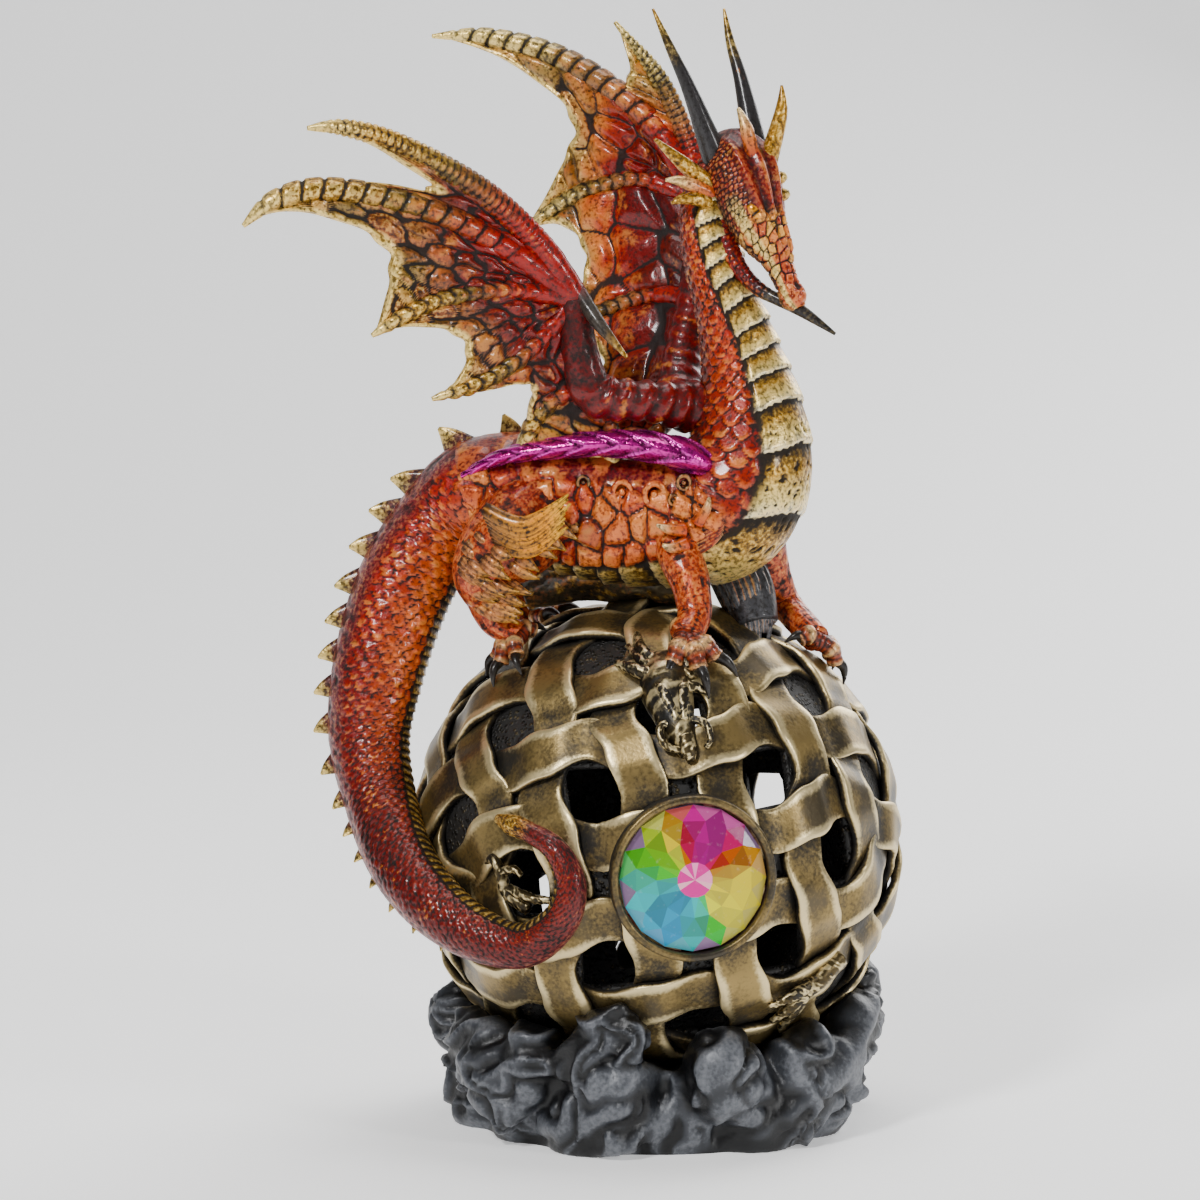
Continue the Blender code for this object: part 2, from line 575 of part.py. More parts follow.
def make_plinth(cutters):
    """Curls of smoke in two rings, fused round the bottom of the orb and cut flat underneath."""
    pieces = [upright_cylinder("core", PLINTH_RADIUS * 0.8, -3 * MM, PLINTH_CORE_HEIGHT, 32)]
    for i in range(PLINTH_CURLS):
        azimuth = i * 360 / PLINTH_CURLS - 50
        swell = math.sin(2.3 * i)
        low = (8.8 + swell) * MM
        pieces.append(ball("low_curl", on_plinth(azimuth, 6.0, 28.8 + 1.5 * swell), (low, low, low * 1.1)))
        high = (6.6 - 1.1 * swell) * MM
        rise = 11.0 + 7.0 * abs(math.sin(math.radians(azimuth + 12))) - 1.5 * swell
        centre = on_plinth(azimuth + 12, rise, 35.2)
        pieces.append(ball("high_curl", centre, (high, high, high * 1.15)))
    for name, table in PLINTH_WISPS.items():
        pieces.append(tube(name, [(on_plinth(a, z, r), w * MM) for a, z, r, w in table]))
    plinth = fuse("smoke_plinth", pieces, PLINTH_VOXEL, PLINTH_KEEP)
    under = upright_cylinder("under_plinth", PLINTH_RADIUS * 3, -30 * MM, 0, 24)
    as_cutter(under, cutters)
    boolean(plinth, under, "DIFFERENCE")
    return plinth


def orb_clearance(cutters):
    """The ball, a gap larger than the orb, that the plinth and the figure are cut by."""
    clearance = ball("orb_clearance", ORB_CENTRE, [ORB_RADIUS + GAP] * 3, 4)
    return as_cutter(clearance, cutters)


def make_mask(name, extra, cutters):
    """The little head and its horns, fused and then thickened by an extra, filed as a cutter."""
    pieces = []
    for table in (MASK, *MASK_HORNS):
        stations = [(on_orb(a, e, lift * UNIT), r * UNIT) for a, e, lift, r in table]
        pieces.append(tube(name, stations))
    mask = fuse(name, pieces, MASK_VOXEL, MASK_KEEP)
    if extra:
        thicken = mask.modifiers.new("thicken", "DISPLACE")
        thicken.strength = extra
        thicken.mid_level = 0
    return as_cutter(mask, cutters)


def skin(name, first, second, notch, thickness=WING_THICKNESS):
    """The skin between two fingers, with a scalloped edge that leaves a notch, as a thin solid.

    A notch is the share of the fingers' length that the edge loses halfway between them.
    """
    along, across = 12, 8
    bm = bmesh.new()
    rows = []
    for j in range(across + 1):
        t = j / across
        reach = 1 - notch * (4 * t * (1 - t)) ** 0.8 - 0.03
        row = []
        for i in range(along + 1):
            s = i / along * reach
            a, _ = smooth(first, s)
            b, _ = smooth(second, s)
            row.append(bm.verts.new(a.lerp(b, t)))
        rows.append(row)
    for j in range(across):
        for i in range(along):
            corners = (rows[j][i], rows[j][i + 1], rows[j + 1][i + 1], rows[j + 1][i])
            bm.faces.new(corners)
    bmesh.ops.remove_doubles(bm, verts=bm.verts, dist=0.00005)
    bmesh.ops.recalc_face_normals(bm, faces=bm.faces)
    bmesh.ops.solidify(bm, geom=bm.faces[:], thickness=thickness)
    bmesh.ops.translate(bm, vec=(0, thickness / 2, 0), verts=bm.verts)
    return mesh_object(name, bm)


def wing(name, arm, fingers, notches):
    """The solids of a wing: its arm, its fingers and the skin between them."""
    bones = [figure_stations(finger) for finger in fingers]
    pieces = [tube(f"{name}_arm", figure_stations(arm))]
    pieces += [tube(f"{name}_finger", bone) for bone in bones]
    for first, second, notch in zip(bones, bones[1:], notches):
        pieces.append(skin(f"{name}_skin", first, second, notch))
    return pieces


def foot(name, azimuth, elevation, heading, size):
    """Three toes and a heel claw set down on the orb, spread about the way the foot points."""
    pieces = []
    for turn, reach in ((-32, 1.0), (0, 1.15), (32, 1.0), (180, 0.6)):
        angle = math.radians(heading + turn)
        stations = []
        for share, lift, radius in ((0, 1.1, 1.0), (1.6, 1.0, 0.75), (2.9, 0.55, 0.62), (4.0, 0.1, 0.25)):
            out = share * reach * size * UNIT / ORB_RADIUS
            east = math.degrees(out * math.cos(angle)) / math.cos(math.radians(elevation))
            north = math.degrees(out * math.sin(angle))
            place = on_orb(azimuth + east, elevation + north, lift * size * UNIT)
            stations.append((place, radius * size * UNIT))
        pieces.append(tube(f"{name}_toe", stations, 3))
    return pieces


def fins(stations):
    """Pointed fins along the back and the tail's outer side, turned away from the curl it makes."""
    pieces = []
    for i in range(TAIL_FINS):
        t = 0.06 + 0.55 * i / (TAIL_FINS - 1)
        place, radius = smooth(stations, t)
        along = tangent(stations, t)
        away = place - ORB_CENTRE
        out = (away - along * away.dot(along)).normalized()
        size = (3.6 - 1.8 * i / (TAIL_FINS - 1)) * UNIT
        root = place + out * radius * 0.7
        tip = place + out * (radius + size) + along * size * 0.7
        stations = [(root, size * 0.6), (root.lerp(tip, 0.6), size * 0.36), (tip, size * 0.12)]
        pieces.append(tube("fin", stations, 2))
    return pieces


def make_dragon(clearance, mask_clearance, cutters):
    """The whole figure, one casting from horns to tail tip, set down on the orb."""
    trunk = figure_stations(NECK_AND_TRUNK)
    back = trunk + tail_stations()
    spine = [tube("spine", back, 4)]
    spine += fins(back[10:])
    head = [tube("skull", figure_stations(SKULL)), tube("jaw", figure_stations(JAW))]
    head += [tube("horn", figure_stations(horn)) for horn in HORNS + BROWS]
    limbs = []
    for name, stations, (azimuth, elevation), heading, size in LEGS:
        ankle = (on_orb(azimuth, elevation, size * UNIT * 1.3), size * UNIT)
        limbs.append(tube(name, figure_stations(stations) + [ankle]))
        limbs += foot(name, azimuth, elevation, heading, size)
    wings = wing("near_wing", NEAR_ARM, NEAR_FINGERS, NEAR_NOTCHES)
    wings += wing("far_wing", FAR_ARM, FAR_FINGERS, FAR_NOTCHES)
    wings += [tube("thumb", figure_stations(NEAR_THUMB)), tube("tuft", figure_stations(TUFT))]
    wings.append(tube("saddle", figure_stations(SADDLE)))
    plates = [tube("flank_plates", figure_stations(FLANK_PLATES))]
    dragon = fuse("dragon", spine + head + limbs + wings + plates, FIGURE_VOXEL, FIGURE_KEEP)
    boolean(dragon, clearance, "DIFFERENCE")
    boolean(dragon, mask_clearance, "DIFFERENCE")
    return dragon


def main():
    """Builds the four pieces and files them with their cutters."""
    clear_scene()
    shown = new_collection("dragon_statue")
    cutters = new_collection("cutters", hidden=True)
    clearance = orb_clearance(cutters)
    mask = make_mask("mask", 0.0, cutters)
    mask_clearance = make_mask("mask_clearance", GAP * 1.3, cutters)
    orb = make_orb(mask, cutters)
    plinth = make_plinth(cutters)
    boolean(plinth, clearance, "DIFFERENCE")
    dragon = make_dragon(clearance, mask_clearance, cutters)
    for thing in (plinth, orb, make_gem(), dragon):
        thing.data.materials.clear()
        thing.data.materials.append(new_material(thing.name))
        shown.objects.link(thing)


main()
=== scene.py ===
"""Dressed model of a winged dragon on a woven orb with a gem, on a plinth of smoke curls.

Lengths are metres unless a name says millimetres. Station tables are drawn above the orb's top.
"""

import colorsys
import enum
import logging
import math
from collections.abc import Callable, Sequence
from dataclasses import dataclass, field

import bmesh
import bpy
import numpy as np
from mathutils import Matrix, Vector

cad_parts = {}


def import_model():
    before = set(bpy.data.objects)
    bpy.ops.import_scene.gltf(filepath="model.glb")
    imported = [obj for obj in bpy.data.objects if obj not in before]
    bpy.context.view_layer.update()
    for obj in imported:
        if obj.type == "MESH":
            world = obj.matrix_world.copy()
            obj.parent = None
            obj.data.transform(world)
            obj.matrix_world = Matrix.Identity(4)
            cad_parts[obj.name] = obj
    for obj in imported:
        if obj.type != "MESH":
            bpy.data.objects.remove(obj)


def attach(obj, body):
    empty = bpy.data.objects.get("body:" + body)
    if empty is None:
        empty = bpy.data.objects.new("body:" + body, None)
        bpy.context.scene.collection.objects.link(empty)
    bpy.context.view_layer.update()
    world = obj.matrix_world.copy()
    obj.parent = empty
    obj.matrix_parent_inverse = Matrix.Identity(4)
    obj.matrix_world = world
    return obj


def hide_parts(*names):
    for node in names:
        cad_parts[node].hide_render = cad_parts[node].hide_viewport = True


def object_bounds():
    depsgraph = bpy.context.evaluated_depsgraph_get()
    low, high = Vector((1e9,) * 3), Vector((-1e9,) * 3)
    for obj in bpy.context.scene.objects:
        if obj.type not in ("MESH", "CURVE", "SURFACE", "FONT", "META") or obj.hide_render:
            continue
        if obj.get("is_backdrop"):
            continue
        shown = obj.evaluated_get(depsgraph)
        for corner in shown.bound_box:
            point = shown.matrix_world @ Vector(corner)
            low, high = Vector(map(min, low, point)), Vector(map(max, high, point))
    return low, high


log = logging.getLogger("dragon")

MM = 0.001
Array = np.ndarray
Stations = Sequence[tuple[float, float, float, float]]

ORB_RADIUS = 44.3 * MM
ORB_CENTRE = np.array([0.0, 0.0, 50.2 * MM])
ORB_TOP = np.array([0.0, 0.0, 94.5 * MM])
GAP = 0.3 * MM
WELD = 1e-6
WEAVE_TURN = math.radians(50)
OPEN_CONE = math.radians(52)
BEZEL_CONE = math.radians(15)
STRAP_WIDTH = 7.1 * MM
GEM_RADIUS = 12.6 * MM
GEM_GIRDLE = 2.0 * MM
GEM_CROWN = 2.2 * MM
GEM_AZIMUTH = math.radians(7.3)

NECK_AND_TRUNK: Stations = (
    (11.5, -8.5, 76.5, 4.2), (8.6, -9.0, 68.5, 4.3), (9.9, -9.0, 60.2, 4.9), (12.6, -9.0, 51.7, 5.6),
    (15.0, -8.0, 42.8, 7.0), (16.4, -8.0, 34.0, 9.2), (15.8, -8.0, 24.4, 11.4), (11.6, -7.5, 16.6, 12.2),
    (2.0, -6.0, 14.8, 12.0), (-7.0, -4.5, 15.4, 12.2), (-16.0, -3.0, 16.8, 11.9), (-25.0, -1.5, 18.2, 11.0),
    (-32.0, 0.0, 18.2, 9.9),
)
TAIL_ROUND_ORB: Stations = (
    (-92, 57.0, 24.4, 9.0), (-90, 48.8, 21.6, 8.6), (-88, 40.4, 17.9, 8.4), (-86, 30.0, 13.9, 7.9),
    (-84, 19.8, 10.6, 7.0), (-78, 9.5, 6.6, 6.2), (-66, 0.4, 5.4, 5.8), (-54, -7.1, 5.0, 5.3),
    (-42, -12.8, 4.3, 4.5), (-30, -14.6, 3.5, 3.7), (-21.4, -8.9, 2.9, 3.1), (-19.0, -1.3, 2.4, 2.6),
    (-22.6, 5.8, 2.0, 2.1), (-29.0, 9.0, 1.7, 1.7), (-33.5, 10.2, 1.4, 1.8), (-38.5, 11.4, 1.0, 0.7),
)
SKULL: Stations = (
    (9.6, -6.5, 79.0, 3.2), (12.9, -8.0, 78.6, 5.5), (14.6, -10.0, 75.2, 6.5), (16.1, -12.0, 70.2, 5.7),
    (18.0, -14.0, 65.4, 4.1), (20.6, -15.5, 60.8, 2.6), (22.3, -17.0, 56.6, 1.9), (23.5, -18.0, 53.8, 2.2),
    (24.4, -18.5, 52.1, 1.0),
)
JAW: Stations = (
    (10.6, -10.0, 68.0, 2.6), (12.2, -12.0, 63.0, 1.9), (14.4, -13.5, 58.8, 1.4), (18.2, -15.2, 55.0, 1.1),
    (24.6, -18.0, 51.8, 1.1), (30.7, -20.0, 47.6, 0.3),
)
BROWS: tuple[Stations, ...] = (
    ((11.5, -13.2, 76.6, 0.9), (14.6, -15.2, 72.8, 1.0), (17.4, -16.4, 69.2, 0.9), (19.4, -16.8, 66.4, 0.5)),
    ((18.2, -6.2, 75.6, 1.0), (19.8, -9.2, 71.4, 1.2), (20.4, -11.2, 68.8, 1.1), (20.5, -13.0, 65.8, 0.6)),
)
FLANK_PLATES: Stations = (
    (-34.7, -9.0, 22.3, 0.7), (-27.9, -11.2, 25.7, 1.6), (-19.1, -13.0, 27.3, 2.2),
    (-10.3, -14.2, 28.3, 2.7), (-1.5, -15.4, 27.8, 3.1), (5.0, -16.4, 26.2, 3.3),
)
TUFT: Stations = ((12.0, -3.0, 10.0, 5.5), (15.8, -5.0, 1.5, 5.2), (17.5, -7.5, -4.5, 4.2))
SADDLE: Stations = (
    (-24.0, 1.0, 3.0, 5.0), (-14.0, 0.0, 5.0, 5.0), (-2.0, -2.0, 5.0, 5.5), (8.0, -3.0, 3.5, 5.0)
)
NEAR_THUMB: Stations = ((-14.1, -16.6, 54.9, 1.5), (-10.3, -20.0, 49.2, 1.2), (-5.6, -22.0, 43.6, 0.3))
PLINTH_WISPS: dict[str, Stations] = {
    "front_curl": (
        (-12, 2.0, 33.0, 6.5), (-14, 10.0, 35.0, 5.6), (-19, 17.0, 37.0, 4.4), (-17, 23.5, 36.5, 3.6),
        (-10, 24.5, 37.0, 3.4), (-7, 20.0, 38.5, 3.0), (-11, 17.5, 39.5, 2.6),
    ),
    "left_slab": ((-66, 19.0, 35.0, 3.6), (-52, 14.0, 36.0, 7.0), (-42, 6.0, 33.0, 8.0)),
    "right_curl": (
        (38, 4.0, 32.0, 8.0), (48, 11.0, 34.0, 7.0), (64, 15.0, 36.0, 5.0), (78, 20.0, 37.0, 4.6),
        (86, 25.0, 36.5, 3.8),
    ),
    "pearl": ((18, 14.0, 38.0, 3.6), (20, 15.5, 38.6, 3.4)),
    "back_curl": (
        (168, 3.0, 32.0, 7.0), (172, 12.0, 35.0, 5.6), (180, 20.0, 36.5, 4.4), (190, 23.0, 37.0, 3.4),
    ),
}

BLACK = (0.008, 0.006, 0.005)
UMBER = (0.050, 0.014, 0.003)
WINE = (0.050, 0.001, 0.002)
DEEP_RED = (0.110, 0.001, 0.001)
RED = (0.210, 0.0015, 0.001)
SCARLET = (0.340, 0.006, 0.0015)
ORANGE = (0.480, 0.042, 0.002)
PEACH = (0.620, 0.140, 0.012)
GOLD = (0.460, 0.220, 0.010)
PALE_GOLD = (0.88, 0.66, 0.20)
YELLOW = (0.86, 0.31, 0.003)
OLIVE = (0.130, 0.076, 0.009)
BONE = (0.88, 0.64, 0.29)
MAGENTA = (0.60, 0.001, 0.30)
SLATE = (0.03, 0.034, 0.042)


# Numbers over arrays


def clamp(x: Array) -> Array:
    """x held between 0 and 1."""
    return np.clip(x, 0.0, 1.0)


def step(x: Array, low: float, high: float) -> Array:
    """Smooth step from 0 at low to 1 at high."""
    t = clamp((x - low) / (high - low))
    return t * t * (3 - 2 * t)


def blend(a: Array | tuple, b: Array | tuple, t: Array | float) -> Array:
    """Mixes two colours, or arrays of them, by a share."""
    t = np.asarray(t, dtype=float)[..., None]
    return np.asarray(a) * (1 - t) + np.asarray(b) * t


def ramp(x: Array, stops: Sequence[tuple[float, tuple]]) -> Array:
    """Colours read from a list of stops."""
    places = [s[0] for s in stops]
    return np.stack([np.interp(x, places, [s[1][k] for s in stops]) for k in range(3)], axis=-1)


def hashed(i: Array, j: Array, seed: int) -> Array:
    """A repeatable number from 0 to 1 for each pair of whole numbers.

    Args:
        i: first whole numbers.
        j: second whole numbers.
        seed: picks another set.

    Returns:
        The numbers.
    """
    n = (i.astype(np.int64) * 374761393 + j.astype(np.int64) * 668265263 + seed * 1442695041) & 0xFFFFFFFF
    n = ((n ^ (n >> 13)) * 1274126177) & 0xFFFFFFFF
    n = ((n ^ (n >> 15)) * 2246822519) & 0xFFFFFFFF
    return ((n ^ (n >> 16)) & 0xFFFF) / 65535.0


def noise(x: Array, y: Array, seed: int = 0, octaves: int = 3) -> Array:
    """Soft noise from 0 to 1 over a plane.

    Args:
        x: across.
        y: up.
        seed: picks another field.
        octaves: how many finer layers are added.

    Returns:
        The noise.
    """
    total, weight, size = np.zeros(np.broadcast(x, y).shape), 0.0, 1.0
    for k in range(octaves):
        u, v = x / size, y / size
        i, j = np.floor(u), np.floor(v)
        fu, fv = u - i, v - j
        fu, fv = fu * fu * (3 - 2 * fu), fv * fv * (3 - 2 * fv)

        def corner(di: int, dj: int) -> Array:
            """The number at one corner of each square."""
            return hashed(i + di, j + dj, seed + 17 * k)

        low = corner(0, 0) * (1 - fu) + corner(1, 0) * fu
        high = corner(0, 1) * (1 - fu) + corner(1, 1) * fu
        total = total + (low * (1 - fv) + high * fv) * size
        weight += size
        size /= 2
    return total / weight


@dataclass
class Cells:
    """Irregular cells over a plane: how deep a point is in its cell, and the cell's own number."""

    near: Array
    edge: Array
    number: Array


def cells(x: Array, y: Array, seed: int = 0, jitter: float = 0.75) -> Cells:
    """Irregular cells about one unit wide.

    Args:
        x: across, in cells.
        y: up, in cells.
        seed: picks another layout.
        jitter: how uneven the cells are, from 0 to 1.

    Returns:
        The distance to the cell's middle, the distance to its edge, and its number from 0 to 1.
    """
    x, y = np.broadcast_arrays(x, y)
    i, j = np.floor(x), np.floor(y)
    spots = []
    for di in (-1, 0, 1):
        for dj in (-1, 0, 1):
            u, v = i + di, j + dj
            px = u + 0.5 + jitter * (hashed(u, v, seed) - 0.5)
            py = v + 0.5 + jitter * (hashed(u, v, seed + 7) - 0.5)
            spots.append((px, py, hashed(u, v, seed + 13)))
    far = np.stack([np.hypot(x - px, y - py) for px, py, _ in spots])
    best = far.argmin(axis=0)[None]
    near, mx, my, number = (
        np.take_along_axis(np.stack(values), best, 0)[0]
        for values in (far, [s[0] for s in spots], [s[1] for s in spots], [s[2] for s in spots])
    )
    edge = np.full(x.shape, 2.0)
    for k, (px, py, _) in enumerate(spots):
        between = np.hypot(px - mx, py - my)
        border = (far[k] ** 2 - near**2) / np.maximum(between, 1e-6)
        edge = np.where(between > 1e-6, np.minimum(edge, border), edge)
    return Cells(near, edge, number)


@dataclass
class Coat:
    """What lies on a surface: its relief in millimetres, its paint, and how raised and gilded it is."""

    height: Array
    paint: Array
    relief: Array
    gilt: Array

    def over(self, other: "Coat", share: Array) -> "Coat":
        """This coat laid on another where share is 1."""
        share = np.broadcast_to(share, self.relief.shape)
        keep = 1 - share
        return Coat(
            self.height * share + other.height * keep,
            self.paint * share[..., None] + other.paint * keep[..., None],
            self.relief * share + other.relief * keep,
            self.gilt * share + other.gilt * keep,
        )


def lapped_scales(row: Array, col: Array, around: int, seed: int, depth: float) -> tuple[Array, Array, Array]:
    """Rows of rounded scales, each lapping over the row after it.

    Args:
        row: place along the body, in rows.
        col: place around it, in scales.
        around: scales in one turn.
        seed: picks their unevenness.
        depth: how far a tip stands up, in millimetres.

    Returns:
        The height in millimetres, how raised each point is, lowered as painted shade just past each lapping
        tip, and each scale's own number.
    """
    row, col = np.broadcast_arrays(row, col)
    height = np.zeros(row.shape)
    raised = np.zeros(row.shape)
    number = np.zeros(row.shape)
    done = np.zeros(row.shape, dtype=bool)
    base = np.floor(row)
    for back in (1, 0, -1):
        k = base - back
        shift = 0.5 * np.mod(k, 2)
        place = col + shift
        cell = np.mod(np.floor(place), around)
        own = hashed(k, cell, seed)
        across = (place - np.floor(place) - 0.5) * 2
        along = (row - k + 0.25 * (own - 0.5)) / 1.75
        tip = 1.0 - 0.44 * np.abs(across) ** 2.2
        inside = (along < tip) & (along > 0) & ~done
        share = clamp(along / tip)
        rise = 0.15 + 0.85 * share**1.3
        side = 1 - np.abs(across) ** 6
        lip = 1 - step(share, 0.93, 1.0) * 0.5
        height = np.where(inside, depth * rise * (0.55 + 0.45 * side) * lip, height)
        raised = np.where(inside, clamp(0.25 + 0.75 * share * side), raised)
        number = np.where(inside, own, number)
        # Painted shade: just past the tip of the lapping row, points are marked as sunk, so they are painted
        # dark.
        if back == 1:
            shade = np.where(inside, 1.0, step(np.where(along > 0, along - tip, 1.0), 0.0, 0.16))
            keep = shade
        done |= inside
    return height, raised * (0.25 + 0.75 * keep), number


# Curves and meshes


def station_weights(u: Array) -> tuple[Array, ...]:
    """Catmull-Rom weights of the four stations round a place that is u of the way between two."""
    return (
        (-u + 2 * u**2 - u**3) / 2, (2 - 5 * u**2 + 3 * u**3) / 2,
        (u + 4 * u**2 - 3 * u**3) / 2, (-(u**2) + u**3) / 2,
    )


class Rail:
    """A smooth curve through stations of x, y, z and radius, read by distance along it."""

    def __init__(self, stations: Array) -> None:
        """Measures the curve."""
        self.stations = np.asarray(stations, dtype=float)
        self.marks = np.linspace(0, 1, 48 * (len(self.stations) - 1) + 1)
        points = self.by_share(self.marks)[:, :3]
        steps = np.linalg.norm(np.diff(points, axis=0), axis=1)
        self.run = np.concatenate([[0.0], np.cumsum(steps)])
        self.length = float(self.run[-1])

    def by_share(self, t: Array) -> Array:
        """Points and radii by share of the stations, on a Catmull-Rom curve.

        Args:
            t: shares from 0 to 1.

        Returns:
            One row of four numbers for each share.
        """
        last = len(self.stations) - 1
        place = np.clip(t, 0, 1) * last
        i = np.minimum(place.astype(int), last - 1)
        u = (place - i)[:, None]
        near = [self.stations[np.clip(i + k, 0, last)] for k in (-1, 0, 1, 2)]
        found = sum(p * w for p, w in zip(near, station_weights(u)))
        found[:, 3] = np.maximum(found[:, 3], 0.2 * MM)
        return found

    def at(self, distance: Array) -> Array:
        """Points and radii at distances along the curve."""
        return self.by_share(np.interp(distance, self.run, self.marks))

    def heading(self, distance: Array) -> Array:
        """Unit directions at distances along the curve."""
        reach = self.length * 0.004
        ahead = self.at(np.minimum(distance + reach, self.length))[:, :3]
        behind = self.at(np.maximum(distance - reach, 0.0))[:, :3]
        return unit(ahead - behind)


def unit(v: Array) -> Array:
    """Vectors made one unit long."""
    return v / np.maximum(np.linalg.norm(v, axis=-1, keepdims=True), 1e-12)


def on_figure(table: Stations) -> Array:
    """Stations drawn in millimetres above the orb's top, as metres in the shared frame."""
    rows = np.asarray(table, dtype=float) * MM
    rows[:, :3] += ORB_TOP
    return rows


def on_orb(azimuth: Array, elevation: Array, lift: Array) -> Array:
    """Points over the orb.

    Args:
        azimuth: degrees from the viewer's side towards +X.
        elevation: degrees above the orb's middle.
        lift: metres above the straps.

    Returns:
        One point a row.
    """
    a, e = np.radians(azimuth), np.radians(elevation)
    out = np.stack([np.sin(a) * np.cos(e), -np.cos(a) * np.cos(e), np.sin(e)], axis=-1)
    return ORB_CENTRE + out * (ORB_RADIUS + np.asarray(lift))[..., None]


def orb_stations(table: Stations) -> Array:
    """Stations round the orb, drawn by azimuth, elevation, lift and radius, as metres."""
    rows = np.asarray(table, dtype=float)
    points = on_orb(rows[:, 0], rows[:, 1], GAP + rows[:, 2] * MM)
    return np.column_stack([points, rows[:, 3] * MM])


class Bench:
    """Mesh work with Blender's own operators, on one selected piece at a time."""

    @staticmethod
    def clear() -> None:
        """Leaves edit mode and deselects everything."""
        if bpy.context.object and bpy.context.object.mode != "OBJECT":
            bpy.ops.object.mode_set(mode="OBJECT")
        bpy.ops.object.select_all(action="DESELECT")

    @staticmethod
    def pick(*pieces: bpy.types.Object) -> None:
        """Selects these pieces alone, the first one active."""
        Bench.clear()
        for piece in pieces:
            piece.select_set(True)
        bpy.context.view_layer.objects.active = pieces[0]

    @staticmethod
    def close(piece: bpy.types.Object, smooth: bool = True) -> bpy.types.Object:
        """Welds a piece's seams and poles and points its faces outwards.

        Args:
            piece: the piece.
            smooth: whether it is shaded smooth.

        Returns:
            The same piece.
        """
        Bench.pick(piece)
        bpy.ops.object.mode_set(mode="EDIT")
        bpy.ops.mesh.select_all(action="SELECT")
        bpy.ops.mesh.remove_doubles(threshold=WELD)
        bpy.ops.mesh.dissolve_degenerate(threshold=1e-7)
        bpy.ops.mesh.select_all(action="SELECT")
        bpy.ops.mesh.normals_make_consistent(inside=False)
        bpy.ops.object.mode_set(mode="OBJECT")
        if smooth:
            bpy.ops.object.shade_smooth()
        else:
            bpy.ops.object.shade_flat()
        return piece

    @staticmethod
    def put(name: str, data: bpy.types.ID) -> bpy.types.Object:
        """A new object for a mesh, a lamp or a camera, in the scene."""
        thing = bpy.data.objects.new(name, data)
        bpy.context.scene.collection.objects.link(thing)
        return thing

    @staticmethod
    def points(mesh: bpy.types.Mesh) -> Array:
        """The places of a mesh's points, one a row."""
        places = np.zeros(len(mesh.vertices) * 3)
        mesh.vertices.foreach_get("co", places)
        return places.reshape(-1, 3)

    @staticmethod
    def move(mesh: bpy.types.Mesh, places: Array) -> None:
        """Puts a mesh's points at places given in the same order."""
        mesh.vertices.foreach_set("co", places.reshape(-1).astype(np.float32))

    @staticmethod
    def tint(mesh: bpy.types.Mesh, colours: Array) -> None:
        """Keeps a paint colour for each point of a mesh."""
        flat = np.concatenate([colours.reshape(-1, 3), np.ones((len(mesh.vertices), 1))], axis=1)
        layer = mesh.attributes.new("paint", "FLOAT_COLOR", "POINT")
        layer.data.foreach_set("color", flat.reshape(-1).astype(np.float32))

    @staticmethod
    def mark(mesh: bpy.types.Mesh, name: str, values: Array) -> None:
        """Keeps a number for each point of a mesh."""
        layer = mesh.attributes.new(name, "FLOAT", "POINT")
        layer.data.foreach_set("value", values.reshape(-1).astype(np.float32))

    @staticmethod
    def join(name: str, pieces: Sequence[bpy.types.Object]) -> bpy.types.Object:
        """Joins pieces into the first one."""
        Bench.pick(*pieces)
        if len(pieces) > 1:
            bpy.ops.object.join()
        made = bpy.context.view_layer.objects.active
        made.name = name
        made.data.name = name
        return made

    @staticmethod
    def net(name: str, points: Array, coat: Coat) -> bpy.types.Object:
        """A closed skin over a net of points: a grid primitive whose points are set, then welded.

        Args:
            name: the piece's name.
            points: places in metres, rows by columns by three.
            coat: the paint and relief at each point.

        Returns:
            The piece.
        """
        rows, cols = points.shape[:2]
        Bench.clear()
        bpy.ops.mesh.primitive_grid_add(x_subdivisions=cols - 1, y_subdivisions=rows - 1, size=1)
        piece = bpy.context.object
        piece.name = piece.data.name = name
        Bench.move(piece.data, points)
        Bench.tint(piece.data, coat.paint)
        Bench.mark(piece.data, "relief", coat.relief)
        Bench.mark(piece.data, "gilt", coat.gilt)
        return Bench.close(piece)


Cover = Callable[[Array, Array, Array], Coat]


